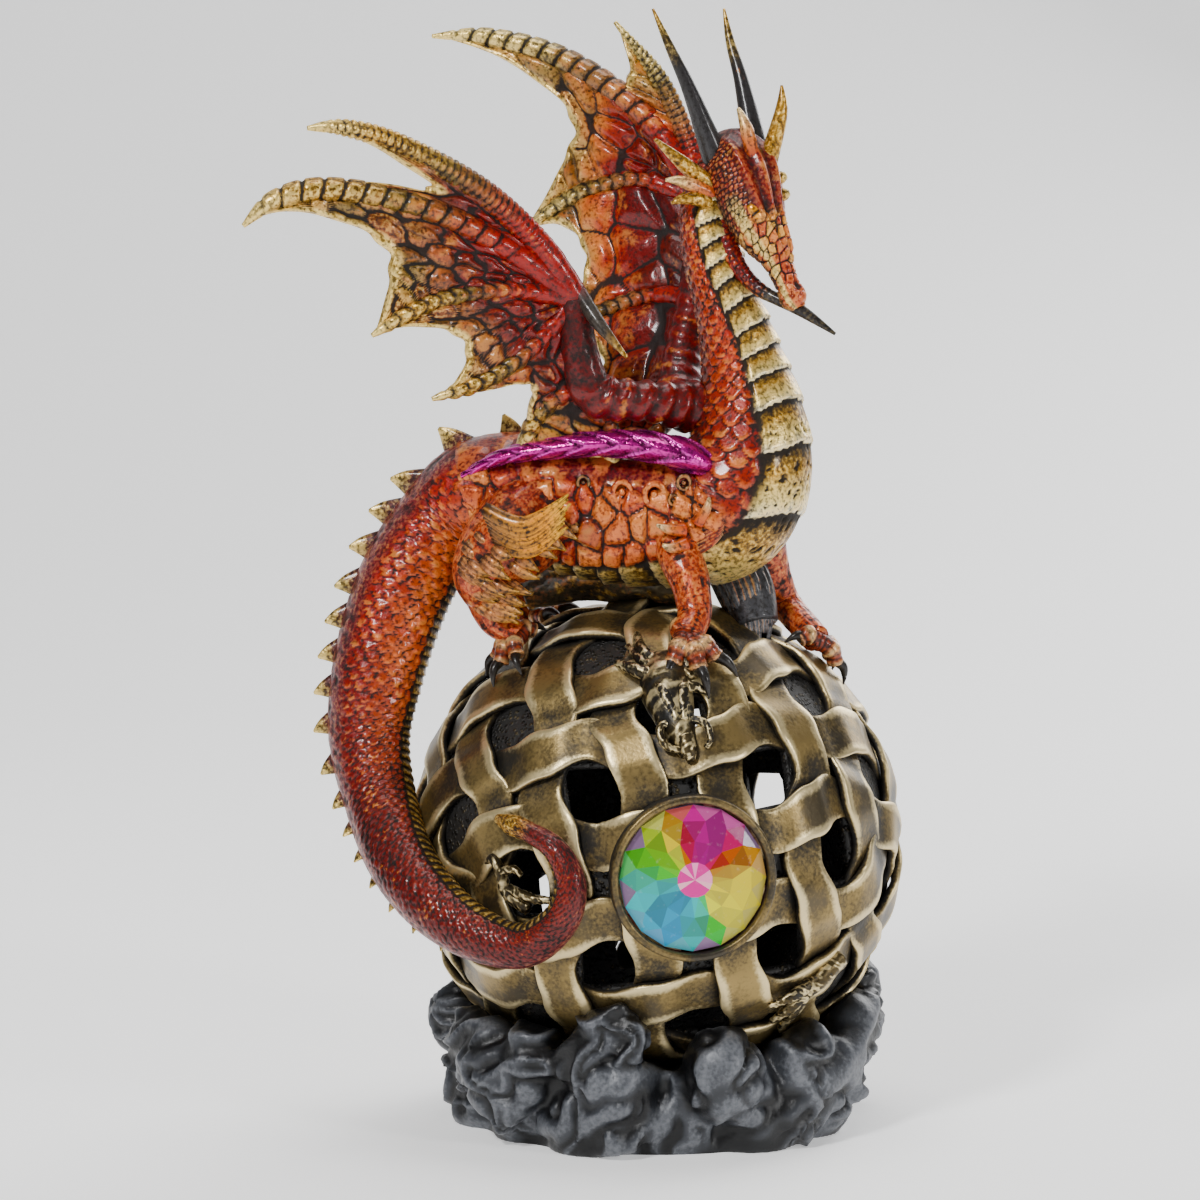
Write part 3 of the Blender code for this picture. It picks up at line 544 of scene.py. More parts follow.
@dataclass
class Loft:
    """A round skin swept along a rail, with a coat over it."""

    name: str
    rail: Rail
    cover: Cover
    rows: int = 40
    around: int = 24
    up: Array | None = None
    start: float = 0.0
    stop: float | None = None
    wide: float = 1.0
    deep: float = 1.0

    def axes(self, distance: Array) -> tuple[Array, Array, Array]:
        """Heading, upper side and cross direction at distances along the rail.

        Args:
            distance: metres from the rail's start.

        Returns:
            Three arrays of unit vectors. With no up of its own, the upper side turns with the
            heading in the plane of the picture.
        """
        heading = self.rail.heading(distance)
        if self.up is None:
            upper = np.stack([heading[:, 2], np.zeros(len(heading)), -heading[:, 0]], axis=-1)
        else:
            upper = np.broadcast_to(self.up, heading.shape)
            upper = upper - heading * np.sum(upper * heading, axis=1, keepdims=True)
        upper = unit(upper)
        return heading, upper, np.cross(heading, upper)

    def build(self) -> bpy.types.Object:
        """The skin as a closed piece.

        Returns:
            The piece.
        """
        stop = self.rail.length if self.stop is None else self.stop
        distance = np.linspace(self.start, stop, self.rows)
        found = self.rail.at(distance)
        _, upper, cross = self.axes(distance)
        angle = np.linspace(0, 2 * math.pi, self.around + 1)
        radius = found[:, 3:4]
        coat = self.cover(distance[:, None] / MM, np.mod(angle, 2 * math.pi)[None, :], radius / MM)
        reach = (radius + coat.height * MM)[..., None]
        out = (
            np.cos(angle)[None, :, None] * upper[:, None, :] * self.deep
            + np.sin(angle)[None, :, None] * cross[:, None, :] * self.wide
        )
        points = found[:, None, :3] + out * reach
        points[:, -1] = points[:, 0]
        ends = [np.repeat(points[k].mean(axis=0)[None, None], self.around + 1, axis=1) for k in (0, -1)]
        points = np.concatenate([ends[0], points, ends[1]], axis=0)

        def capped(values: Array) -> Array:
            """Values with the end rows repeated for the caps."""
            return np.concatenate([values[:1], values, values[-1:]], axis=0)

        shape = coat.relief.shape
        coat = Coat(
            coat.height, capped(np.broadcast_to(coat.paint, (*shape, 3))),
            capped(coat.relief), capped(np.broadcast_to(coat.gilt, shape)),
        )
        return Bench.net(self.name, points, coat)


def turned(angle: Array, middle: float | Array) -> Array:
    """Angles measured from a middle, between minus and plus pi."""
    return np.mod(angle - middle + math.pi, 2 * math.pi) - math.pi


# Materials


class Wire:
    """A socket of a shader, with arithmetic that adds the nodes."""

    def __init__(self, desk: "Desk", socket: bpy.types.NodeSocket) -> None:
        """Wraps a socket."""
        self.desk = desk
        self.socket = socket

    def _with(self, operation: str, first: "Wire | float", second: "Wire | float") -> "Wire":
        """A Math node on two values."""
        return self.desk.node("ShaderNodeMath", {"operation": operation}, {0: first, 1: second})

    def __add__(self, other: "Wire | float") -> "Wire":
        """Sum."""
        return self._with("ADD", self, other)

    def __radd__(self, other: float) -> "Wire":
        """Sum, the number first."""
        return self._with("ADD", other, self)

    def __sub__(self, other: "Wire | float") -> "Wire":
        """Difference."""
        return self._with("SUBTRACT", self, other)

    def __rsub__(self, other: float) -> "Wire":
        """Difference, the number first."""
        return self._with("SUBTRACT", other, self)

    def __mul__(self, other: "Wire | float") -> "Wire":
        """Product."""
        return self._with("MULTIPLY", self, other)

    def __rmul__(self, other: float) -> "Wire":
        """Product, the number first."""
        return self._with("MULTIPLY", other, self)

    def between(self, low: float, high: float) -> "Wire":
        """Smooth step of this value from 0 at low to 1 at high."""
        settings = {"interpolation_type": "SMOOTHSTEP"}
        values = {"Value": self, "From Min": low, "From Max": high}
        return self.desk.node("ShaderNodeMapRange", settings, values)


class Desk:
    """A material being made: its nodes, and its shader."""

    def __init__(self, name: str) -> None:
        """Starts a material with a Principled shader."""
        self.material = bpy.data.materials.new(name)
        self.material.use_nodes = True
        self.tree = self.material.node_tree
        self.shader = self.tree.nodes["Principled BSDF"]

    def node(
        self, kind: str, settings: dict | None = None, values: dict | None = None, out: int | str = 0
    ) -> Wire:
        """Adds a node.

        Args:
            kind: Blender's type name of the node.
            settings: its own settings, which are set first.
            values: what goes into its sockets, numbers or wires.
            out: which output is returned.

        Returns:
            The output as a wire.
        """
        made = self.tree.nodes.new(kind)
        for key, value in (settings or {}).items():
            setattr(made, key, value)
        for key, value in (values or {}).items():
            self.feed(made.inputs[key], value)
        return Wire(self, made.outputs[out])

    def feed(self, socket: bpy.types.NodeSocket, value: "Wire | float | tuple") -> None:
        """Links a wire to a socket, or sets the socket's number or colour.

        Args:
            socket: the input socket.
            value: what goes in.
        """
        if isinstance(value, Wire):
            self.tree.links.new(value.socket, socket)
        elif isinstance(value, tuple) and socket.type == "RGBA":
            socket.default_value = (*value, 1.0)
        else:
            socket.default_value = value

    def place(self) -> Wire:
        """Object coordinates, in metres."""
        return self.node("ShaderNodeTexCoord", out="Object")

    def attribute(self, name: str, out: str = "Fac") -> Wire:
        """A value kept on the mesh."""
        return self.node("ShaderNodeAttribute", {"attribute_name": name}, out=out)

    def grain(self, scale: float, detail: float = 3.0) -> Wire:
        """Noise in the object's own coordinates."""
        return self.node(
            "ShaderNodeTexNoise", None, {"Vector": self.place(), "Scale": scale, "Detail": detail}
        )

    def pebbles(self, scale: float) -> Wire:
        """Distance to the middle of small cells, in the object's own coordinates."""
        return self.node("ShaderNodeTexVoronoi", None, {"Vector": self.place(), "Scale": scale})

    def mix(self, low: "Wire | tuple", high: "Wire | tuple", share: "Wire | float") -> Wire:
        """Mixes two colours."""
        settings = {"data_type": "RGBA", "blend_type": "MIX", "clamp_factor": True}
        return self.node("ShaderNodeMix", settings, {0: share, 6: low, 7: high}, out=2)

    def bump(self, height: Wire, strength: float, distance: float) -> None:
        """Feeds a bump to the shader's normal."""
        values = {"Height": height, "Strength": strength, "Distance": distance}
        self.feed(self.shader.inputs["Normal"], self.node("ShaderNodeBump", None, values))

    def finish(self, **values: "Wire | float | tuple") -> bpy.types.Material:
        """Sets the shader's sockets.

        Args:
            values: socket names, with underscores for spaces, and what goes in.

        Returns:
            The material.
        """
        for key, value in values.items():
            self.feed(self.shader.inputs[key.replace("_", " ")], value)
        return self.material


@dataclass(frozen=True)
class PaintedResin:
    """Cast resin with pearly paint, dark in its hollows, partly dark paint and partly painted shade, and with
    orange and gold rubbed over what stands up, partly as painted highlight.
    """

    name: str = "painted_resin"
    grain_scale: float = 1500.0
    metallic: float = 0.12
    roughness: float = 0.33
    rub_and_highlight: float = 0.38
    wash_and_shade_top: float = 0.68
    grime: float = 0.68

    def material(self) -> bpy.types.Material:
        """The finish as a material."""
        desk = Desk(self.name)
        relief = desk.attribute("relief")
        gilt = desk.attribute("gilt")
        paint = desk.attribute("paint", "Color")
        broad = desk.grain(240.0, 2.0)
        fine = desk.grain(self.grain_scale, 4.0)
        specks = desk.pebbles(2600.0)
        uneven = relief + (fine - 0.5) * 0.55 + (broad - 0.5) * 0.45
        # Painted shade: hollows go near black, partly as dark paint.
        wash_and_shade = 1.0 - uneven.between(0.16, self.wash_and_shade_top)
        # Painted highlight: raised parts take orange and gold, partly as rubbed paint.
        wear_and_highlight = (uneven + (broad - 0.5) * 0.4).between(0.78, 1.05)
        shade = desk.mix(paint, BLACK, (1.0 - fine.between(0.34, 0.52)) * self.grime)
        rub_and_highlight_tint = desk.mix((0.92, 0.16, 0.015), (0.98, 0.50, 0.08), broad.between(0.50, 0.66) * 0.6)
        lit = desk.mix(shade, rub_and_highlight_tint, wear_and_highlight * self.rub_and_highlight * (1.0 - gilt))
        # Painted highlight on the gilding: raised gold goes pale.
        lit = desk.mix(
            lit, (1.0, 0.72, 0.22), gilt * (fine + (uneven - 0.5) * 0.4).between(0.50, 0.76) * 0.65
        )
        colour = desk.mix(lit, BLACK, wash_and_shade * 0.96)
        colour = desk.mix(colour, BLACK, (1.0 - specks.between(0.04, 0.18)) * 0.35)
        rough = self.roughness - 0.06 + fine * 0.20 + wash_and_shade * 0.30
        metal = (self.metallic + gilt * 0.60) * (1.0 - wash_and_shade * 0.7)
        desk.bump(fine * 0.7 + specks * 0.3, 0.50, 0.00022)
        return desk.finish(
            Base_Color=colour, Roughness=rough, Metallic=metal, Specular_IOR_Level=0.25,
            Coat_Weight=(1.0 - wash_and_shade) * 0.32, Coat_Roughness=0.12,
        )


@dataclass(frozen=True)
class AntiqueBronze:
    """Bronze paint, pale along edges, partly wear and partly painted highlight, lighter where it stands up
    and dark where it is sunk, as painted shade.
    """

    name: str = "antique_bronze"
    low: tuple = (0.030, 0.025, 0.017)
    high: tuple = (0.31, 0.215, 0.075)
    bump_depth: float = 0.00012

    def material(self) -> bpy.types.Material:
        """The finish as a material."""
        desk = Desk(self.name)
        relief = desk.attribute("relief")
        gilt = desk.attribute("gilt")
        broad = desk.grain(120.0, 3.0)
        fine = desk.grain(1700.0, 5.0)
        patch = (broad + (fine - 0.5) * 0.5).between(0.34, 0.66)
        # Painted light: lighter where the relief is high.
        body = desk.mix(self.low, self.high, patch * 0.6 + relief.between(0.3, 1.0) * 0.35)
        cool = desk.mix(body, (0.045, 0.048, 0.052), (1.0 - broad.between(0.34, 0.50)) * 0.35)
        # Pale edges: partly wear, partly painted highlight.
        edged = desk.mix(cool, (0.84, 0.68, 0.36), (gilt + (fine - 0.5) * 0.5).between(0.50, 1.0) * 0.75)
        # Painted shade: sunk parts go near black.
        wash_and_shade = 1.0 - (relief + (fine - 0.5) * 0.4).between(0.14, 0.66)
        colour = desk.mix(edged, (0.006, 0.005, 0.004), wash_and_shade * 0.96)
        rough = 0.26 + fine * 0.22 + wash_and_shade * 0.25
        metal = 0.80 - wash_and_shade * 0.5
        desk.bump(fine, 0.38, self.bump_depth)
        return desk.finish(Base_Color=colour, Roughness=rough, Metallic=metal)


@dataclass(frozen=True)
class GrainedGround:
    """The dark grained ground between straps, with a few gilded grains."""

    name: str = "grained_ground"

    def material(self) -> bpy.types.Material:
        """The finish as a material."""
        desk = Desk(self.name)
        grains = desk.pebbles(1150.0)
        broad = desk.grain(500.0, 3.0)
        top = 1.0 - grains.between(0.10, 0.55)
        colour = desk.mix((0.010, 0.009, 0.008), (0.20, 0.15, 0.07), top * broad.between(0.45, 0.75) * 0.9)
        desk.bump(top, 0.8, 0.0005)
        rough = 0.62 - top * 0.28
        return desk.finish(Base_Color=colour, Roughness=rough, Metallic=top * 0.6)


@dataclass(frozen=True)
class SmokeGrey:
    """Dull blue-grey paint, dark in the folds and round the orb, partly dark paint and partly painted shade,
    and pale on top, partly dust and partly painted highlight.
    """

    name: str = "smoke_grey"

    def material(self) -> bpy.types.Material:
        """The finish as a material."""
        desk = Desk(self.name)
        relief = desk.attribute("relief")
        broad = desk.grain(110.0, 4.0)
        fine = desk.grain(1300.0, 5.0)
        # Painted light: darker where the relief is low, lighter where it is high.
        body = desk.mix(
            (0.004, 0.0045, 0.0055), (0.045, 0.049, 0.058), (relief + (broad - 0.5) * 0.7).between(0.2, 0.9)
        )
        # Pale on raised parts: partly dust, partly painted highlight.
        dust_and_highlight = desk.mix(body, (0.19, 0.20, 0.22), (relief + (fine - 0.5) * 0.7).between(0.66, 1.10) * 0.65)
        # Painted shade: the folds go near black, partly as dark paint.
        wash_and_shade = 1.0 - (relief + (fine - 0.5) * 0.3).between(0.08, 0.52)
        colour = desk.mix(dust_and_highlight, (0.002, 0.002, 0.0025), wash_and_shade * 0.95)
        desk.bump(fine * 0.6 + broad * 0.4, 0.5, 0.0003)
        rough = 0.32 + fine * 0.2
        return desk.finish(Base_Color=colour, Roughness=rough, Metallic=0.15)


@dataclass(frozen=True)
class FoiledGlass:
    """Clear facets over a rainbow foil: the colour sits on each facet, with painted glints and a painted
    glow.
    """

    name: str = "foiled_glass"

    def material(self) -> bpy.types.Material:
        """The finish as a material."""
        desk = Desk(self.name)
        paint = desk.attribute("paint", "Color")
        glint_streaks = desk.grain(900.0, 2.0)
        # Painted glints: pale streaks over the facets.
        colour = desk.mix(paint, (1.0, 1.0, 1.0), glint_streaks.between(0.60, 0.90) * 0.12)
        desk.bump(glint_streaks, 0.04, 0.00003)
        rough = 0.08 + glint_streaks * 0.05
        # Painted light: the facets glow a little, though the gem is no lamp.
        return desk.finish(
            Base_Color=colour, Roughness=rough, Specular_IOR_Level=0.2, Coat_Weight=0.08, Coat_Roughness=0.03,
            Emission_Color=colour, Emission_Strength=0.24,
        )


class Finish(enum.Enum):
    """The finishes of the piece, by material slot."""

    RESIN = "painted_resin"
    BRONZE = "bronze_resin"
    GLASS = "gem_glass"
    SMOKE = "grey_resin"


@dataclass
class Workshop:
    """Hands out finished pieces: each gets its material and body, and its CAD node is hidden."""

    materials: dict[str, bpy.types.Material] = field(default_factory=dict)

    def dress(self, piece: bpy.types.Object, look: object, node: str, finish: Finish) -> None:
        """Gives a piece its material, puts it on the root body and hides the CAD node that it stands for.

        Args:
            piece: the finished mesh.
            look: a finish with a name and a material method.
            node: the CAD node that it stands for.
            finish: the piece's material slot; not used.
        """
        if look.name not in self.materials:
            self.materials[look.name] = look.material()
        piece.data.materials.clear()
        piece.data.materials.append(self.materials[look.name])
        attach(piece, "root")
        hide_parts(node)
        log.info("%s: %d faces", piece.name, len(piece.data.polygons))

    def paint(self, piece: bpy.types.Object, look: PaintedResin = PaintedResin()) -> None:
        """Finishes a piece of the dragon in painted resin."""
        self.dress(piece, look, "dragon", Finish.RESIN)


# The figure's skins


@dataclass
class Spine:
    """Neck, trunk and tail: one long body with plates in front, scales on its sides and cells below."""

    neck_scales: int = 16
    tail_scales: int = 20
    fin_count: int = 19
    fin_reach: float = 0.80
    rail: Rail = field(init=False)
    trunk_length: float = field(init=False)

    def __post_init__(self) -> None:
        """Measures the body."""
        trunk = on_figure(NECK_AND_TRUNK)
        self.rail = Rail(np.concatenate([trunk, orb_stations(TAIL_ROUND_ORB)]))
        self.trunk_length = Rail(trunk).length / MM

    def rows_from(self, s: Array, radius: Array, around: float, ratio: float) -> Array:
        """Counts rows of scales along the body, each as long as the radius there asks for.

        Args:
            s: millimetres along the body, one column.
            radius: the body's radius there, in millimetres.
            around: scales in one turn.
            ratio: a row's length over a scale's width.

        Returns:
            The row's number at each place.
        """
        grid = np.linspace(0, self.rail.length / MM, 3000)
        size = self.rail.at(grid * MM)[:, 3] / MM
        pitch = 2 * math.pi * size / around * ratio
        count = np.concatenate([[0.0], np.cumsum(np.diff(grid) / pitch[:-1])])
        return np.interp(s, grid, count) + 0 * radius

    def scutes(self, s: Array, off: Array) -> Coat:
        """The broad plates down the throat and chest.

        Args:
            s: millimetres along the body.
            off: angle from the plates' middle.

        Returns:
            Their coat.
        """
        grid = np.linspace(0, 400, 2000)
        pitch = np.interp(grid, [0, 12, 40, 52, 62, 80, 400], [2.8, 3.6, 4.8, 8.5, 9.5, 4.0, 3.0])
        count = np.concatenate([[0.0], np.cumsum(np.diff(grid) / pitch[:-1])])
        bend = 0.55 * (1 - np.cos(off * 1.15)) + 0.10 * (noise(s / 5, off * 3, 41) - 0.5)
        place = np.interp(s, grid, count) - bend
        part = place - np.floor(place)
        own = hashed(np.floor(place), np.zeros_like(place), 5)
        rise = 0.20 + 0.80 * part**0.9
        drop = 1 - step(part, 0.965, 1.0) * 0.55
        height = 0.85 * rise * drop
        pits = cells(s / 1.35, off * 7.0, 11, 0.9)
        chest = step(s, 44, 49) * (1 - step(s, 68, 72)) * (1 - step(np.abs(off), 0.75, 1.0))
        hole = (1 - step(pits.near, 0.13, 0.26)) * chest * (pits.number > 0.25)
        hatch = noise(s / 2.2, off * 14, 3, 4)
        # Painted shade: each plate is marked sunk just below the lip of the plate before it.
        relief = clamp(0.30 + 0.72 * part - 0.35 * (1 - step(part, 0.0, 0.16)) - 0.9 * hole)
        relief = clamp(relief - 0.45 * step(hatch, 0.52, 0.70) * (0.35 + 0.65 * step(s, 60, 70)))
        # Each plate runs from dark olive to cream at its lip: partly paint, partly painted shade and
        # highlight.
        paint = ramp(
            part + 0.15 * (hatch - 0.5),
            ((0.0, OLIVE), (0.35, GOLD), (0.8, PALE_GOLD), (1.0, (0.95, 0.86, 0.58)))
        )
        # Painted shade: darker olive low on the chest, and a little at random.
        paint = blend(paint, OLIVE, 0.55 * step(s, 62, 74) + 0.1 * own)
        return Coat(height - 0.5 * hole, paint, relief, np.full(height.shape, 0.75))

    def neck_coat(self, s: Array, angle: Array, radius: Array) -> Coat:
        """The coat of the neck and trunk.

        Args:
            s: millimetres along the body.
            angle: angle from the back, in radians.
            radius: the body's radius, in millimetres.

        Returns:
            The coat.
        """
        s, angle = np.broadcast_arrays(s, angle)
        row = self.rows_from(s[:, :1], radius, self.neck_scales, 0.62)
        height, raised, own = lapped_scales(
            row, angle / (2 * math.pi) * self.neck_scales, self.neck_scales, 3, 0.75
        )
        grime = noise(s / 6, angle * 4, 9, 4)
        paint = blend(blend(SCARLET, ORANGE, clamp(own * 0.9 + 0.25 * grime)), RED, step(s, 34, 48) * 0.75)
        # Paler tips: partly paint, partly painted highlight.
        paint = blend(paint, PEACH, step(raised, 0.78, 1.0) * 0.40)
        paint = blend(paint, WINE, (1 - step(np.abs(turned(angle, 0.0)), 0.35, 0.9)) * 0.8)
        side = Coat(height, paint, clamp(raised * 1.1 - 0.25 * step(grime, 0.55, 0.75)), np.zeros(s.shape))
        # Trunk: cells and bosses low on the side, wrinkled skin above them.
        lumps = cells(s / 3.6 + 0.3 * noise(s / 4, angle * 3, 2), angle * radius / 5.2, 21, 0.8)
        dome = step(lumps.edge, 0.02, 0.42)
        tone = ramp(lumps.number, ((0.0, UMBER), (0.25, SCARLET), (0.6, ORANGE), (1.0, PEACH)))
        belly = Coat(
            1.1 * dome**0.7, tone, clamp(0.12 + 0.85 * step(lumps.edge, 0.05, 0.25)), lumps.number * 0.2
        )
        folds = noise(s / 2.6 + 2.2 * noise(s / 9, angle * 2, 8), angle * 1.3, 31, 4)
        ridge = 1 - np.abs(2 * folds - 1)
        skin = Coat(0.8 * ridge, blend(WINE, RED, ridge), clamp(0.15 + 0.9 * ridge), ridge * 0.1)
        low = step(np.abs(turned(angle, 0.0)) + 0.3 * (grime - 0.5), 1.05, 1.25)
        trunk = belly.over(skin, low)
        body = trunk.over(side, step(s + 3 * (grime - 0.5), 60, 65))
        # Plates face down the front of the neck, turned a little to the viewer.
        lean = np.interp(s, [0, 20, 48, 62, 80], [0.95, 0.78, 0.50, 0.30, 0.0])
        half = np.interp(s, [0, 10, 30, 50, 64, 76, 90, 110], [1.30, 1.22, 1.02, 1.0, 1.05, 0.85, 0.6, 0.6])
        off = turned(angle, math.pi + lean)
        front = self.scutes(s, off)
        edge = np.abs(off) / half + 0.10 * (noise(s / 3, angle * 5, 55) - 0.5)
        mask = 1 - step(edge, 0.94, 1.0)
        groove = step(edge, 0.86, 0.95) * (1 - step(edge, 1.0, 1.1))
        made = front.over(body, mask)
        made.relief = clamp(made.relief - 0.5 * groove)
        made.height = made.height - 0.35 * groove
        return made

    def tail_coat(self, s: Array, angle: Array, radius: Array) -> Coat:
        """The coat of the tail.

        Args:
            s: millimetres along the body.
            angle: angle from the back, in radians.
            radius: the body's radius, in millimetres.

        Returns:
            The coat.
        """
        s, angle = np.broadcast_arrays(s, angle)
        row = self.rows_from(s[:, :1], radius, self.tail_scales, 0.70)
        turns = angle / (2 * math.pi) * self.tail_scales
        size = np.clip(radius / 8.0, 0.3, 1.0)
        height, raised, own = lapped_scales(row, turns, self.tail_scales, 4, 1.0)
        height = height * 0.80 * size
        off = turned(angle, 0.0)
        inner = step(np.abs(off), 1.15, 2.1)
        down = step(s, 125, 190)
        warm = blend(blend(RED, SCARLET, own), blend(ORANGE, PEACH, own * 0.8), inner * (1 - 0.85 * down))
        paint = blend(warm, DEEP_RED, 0.92 * down * (1 - 0.3 * inner))
        # Paler tips: partly paint, partly painted highlight.
        paint = blend(paint, PEACH, step(raised, 0.80, 1.0) * (0.38 - 0.34 * down))
        grime = noise(s / 7, angle * 5, 19, 4)
        shown = raised * (1.15 - 0.30 * down) - 0.22 * step(grime, 0.55, 0.8)
        scaled = Coat(height, paint, clamp(shown), np.zeros(s.shape))
        # The back is dark wrinkled skin that carries the fins.
        folds = noise(s / 1.5 + off * 1.5, angle * 4, 77, 3)
        ridge = 1 - np.abs(2 * folds - 1)
        back = Coat(
            0.45 * ridge * size, blend(BLACK, (0.22, 0.02, 0.03), ridge), clamp(0.1 + 0.6 * ridge),
            ridge * 0.25
        )
        made = back.over(scaled, 1 - step(np.abs(off) + 0.3 * (grime - 0.5), 0.62, 1.0))
        tip = step(s, s.max() - 9.0, s.max() - 4.0)
        made.paint = made.paint * (1 - tip[..., None]) + np.asarray(GOLD) * tip[..., None]
        made.gilt = np.maximum(made.gilt, tip)
        # The underside is a dark strip of narrow plates.
        ribs = np.mod(s / 1.9, 1.0)
        strip = Coat(
            0.5 * ribs * size, blend(BLACK, GOLD, ribs**2), clamp(0.1 + 0.85 * ribs), ribs,
        )
        strip.gilt = np.broadcast_to(strip.gilt, s.shape)
        off_under = np.abs(turned(angle, math.pi))
        edge = off_under / 0.62
        made = strip.over(made, 1 - step(edge, 0.9, 1.0))
        made.relief = clamp(made.relief - 0.6 * step(edge, 0.85, 0.98) * (1 - step(edge, 1.0, 1.12)))
        return made

    def fins(self) -> list[bpy.types.Object]:
        """Thorns along the back and tail, dark with gilded points.

        Returns:
            The pieces.
        """
        made = []
        start = self.trunk_length - 12
        total = self.rail.length / MM
        body = Loft("spine", self.rail, self.tail_coat)
        for i in range(self.fin_count):
            share = i / (self.fin_count - 1)
            s = start + (total * self.fin_reach - start) * share
            distance = np.array([s * MM])
            place = self.rail.at(distance)[0]
            heading, upper, _ = (v[0] for v in body.axes(distance))
            size = np.interp(share, [0, 0.1, 0.6, 1], [3.0, 4.0, 2.6, 0.9]) * MM
            root = place[:3] + upper * place[3] * 0.75
            tip = place[:3] + upper * (place[3] + size) + heading * size * 0.9
            mid = root * 0.45 + tip * 0.55 + upper * size * 0.12
            stations = np.array([[*root, size * 1.05], [*mid, size * 0.55], [*tip, size * 0.08]])

            def cover(along: Array, angle: Array, radius: Array) -> Coat:
                """Dark at the root, gilded at the tip."""
                t = along / along.max() + 0 * angle
                ridge = 0.10 * np.cos(angle * 5) * (1 - t)
                paint = ramp(t, ((0.0, BLACK), (0.45, (0.10, 0.02, 0.02)), (0.7, OLIVE), (1.0, PALE_GOLD)))
                return Coat(ridge, paint, clamp(0.25 + 0.8 * t + ridge), t)

            made.append(Loft("fin", Rail(stations), cover, 12, 14, up=heading, wide=0.36).build())
        return made

    def build(self, shop: Workshop) -> None:
        """Makes and dresses the body, its tail and its fins."""
        end = self.trunk_length * MM
        body = Loft("neck_and_trunk", self.rail, self.neck_coat, 290, 144, stop=end).build()
        shop.paint(body)
        tail = Loft(
            "tail", self.rail, self.tail_coat, 460, 96, start=end - 2 * MM, stop=self.rail.length
        ).build()
        shop.paint(tail)
        shop.paint(Bench.join("fins", self.fins()))


def horn_cover(stops: Sequence[tuple[float, tuple]], gilt_from: float) -> Cover:
    """A cover for horns and claws: colours from root to tip, with faint grooves.

    Args:
        stops: the colours by share of the length.
        gilt_from: share from which it is gilded; above 1 for none.

    Returns:
        The cover.
    """

    def cover(along: Array, angle: Array, radius: Array) -> Coat:
        """The horn's coat."""
        t = along / max(float(along.max()), 1e-6) + 0 * angle
        grooves = noise(t * 30, angle * 3, 7, 3)
        gilt_full = max(min(gilt_from + 0.25, 1.0), gilt_from + 0.01)
        height = 0.12 * (grooves - 0.5) * (1 - t)
        return Coat(
            height, ramp(t, stops), clamp(0.50 + 0.5 * (grooves - 0.3)), step(t, gilt_from, gilt_full)
        )

    return cover


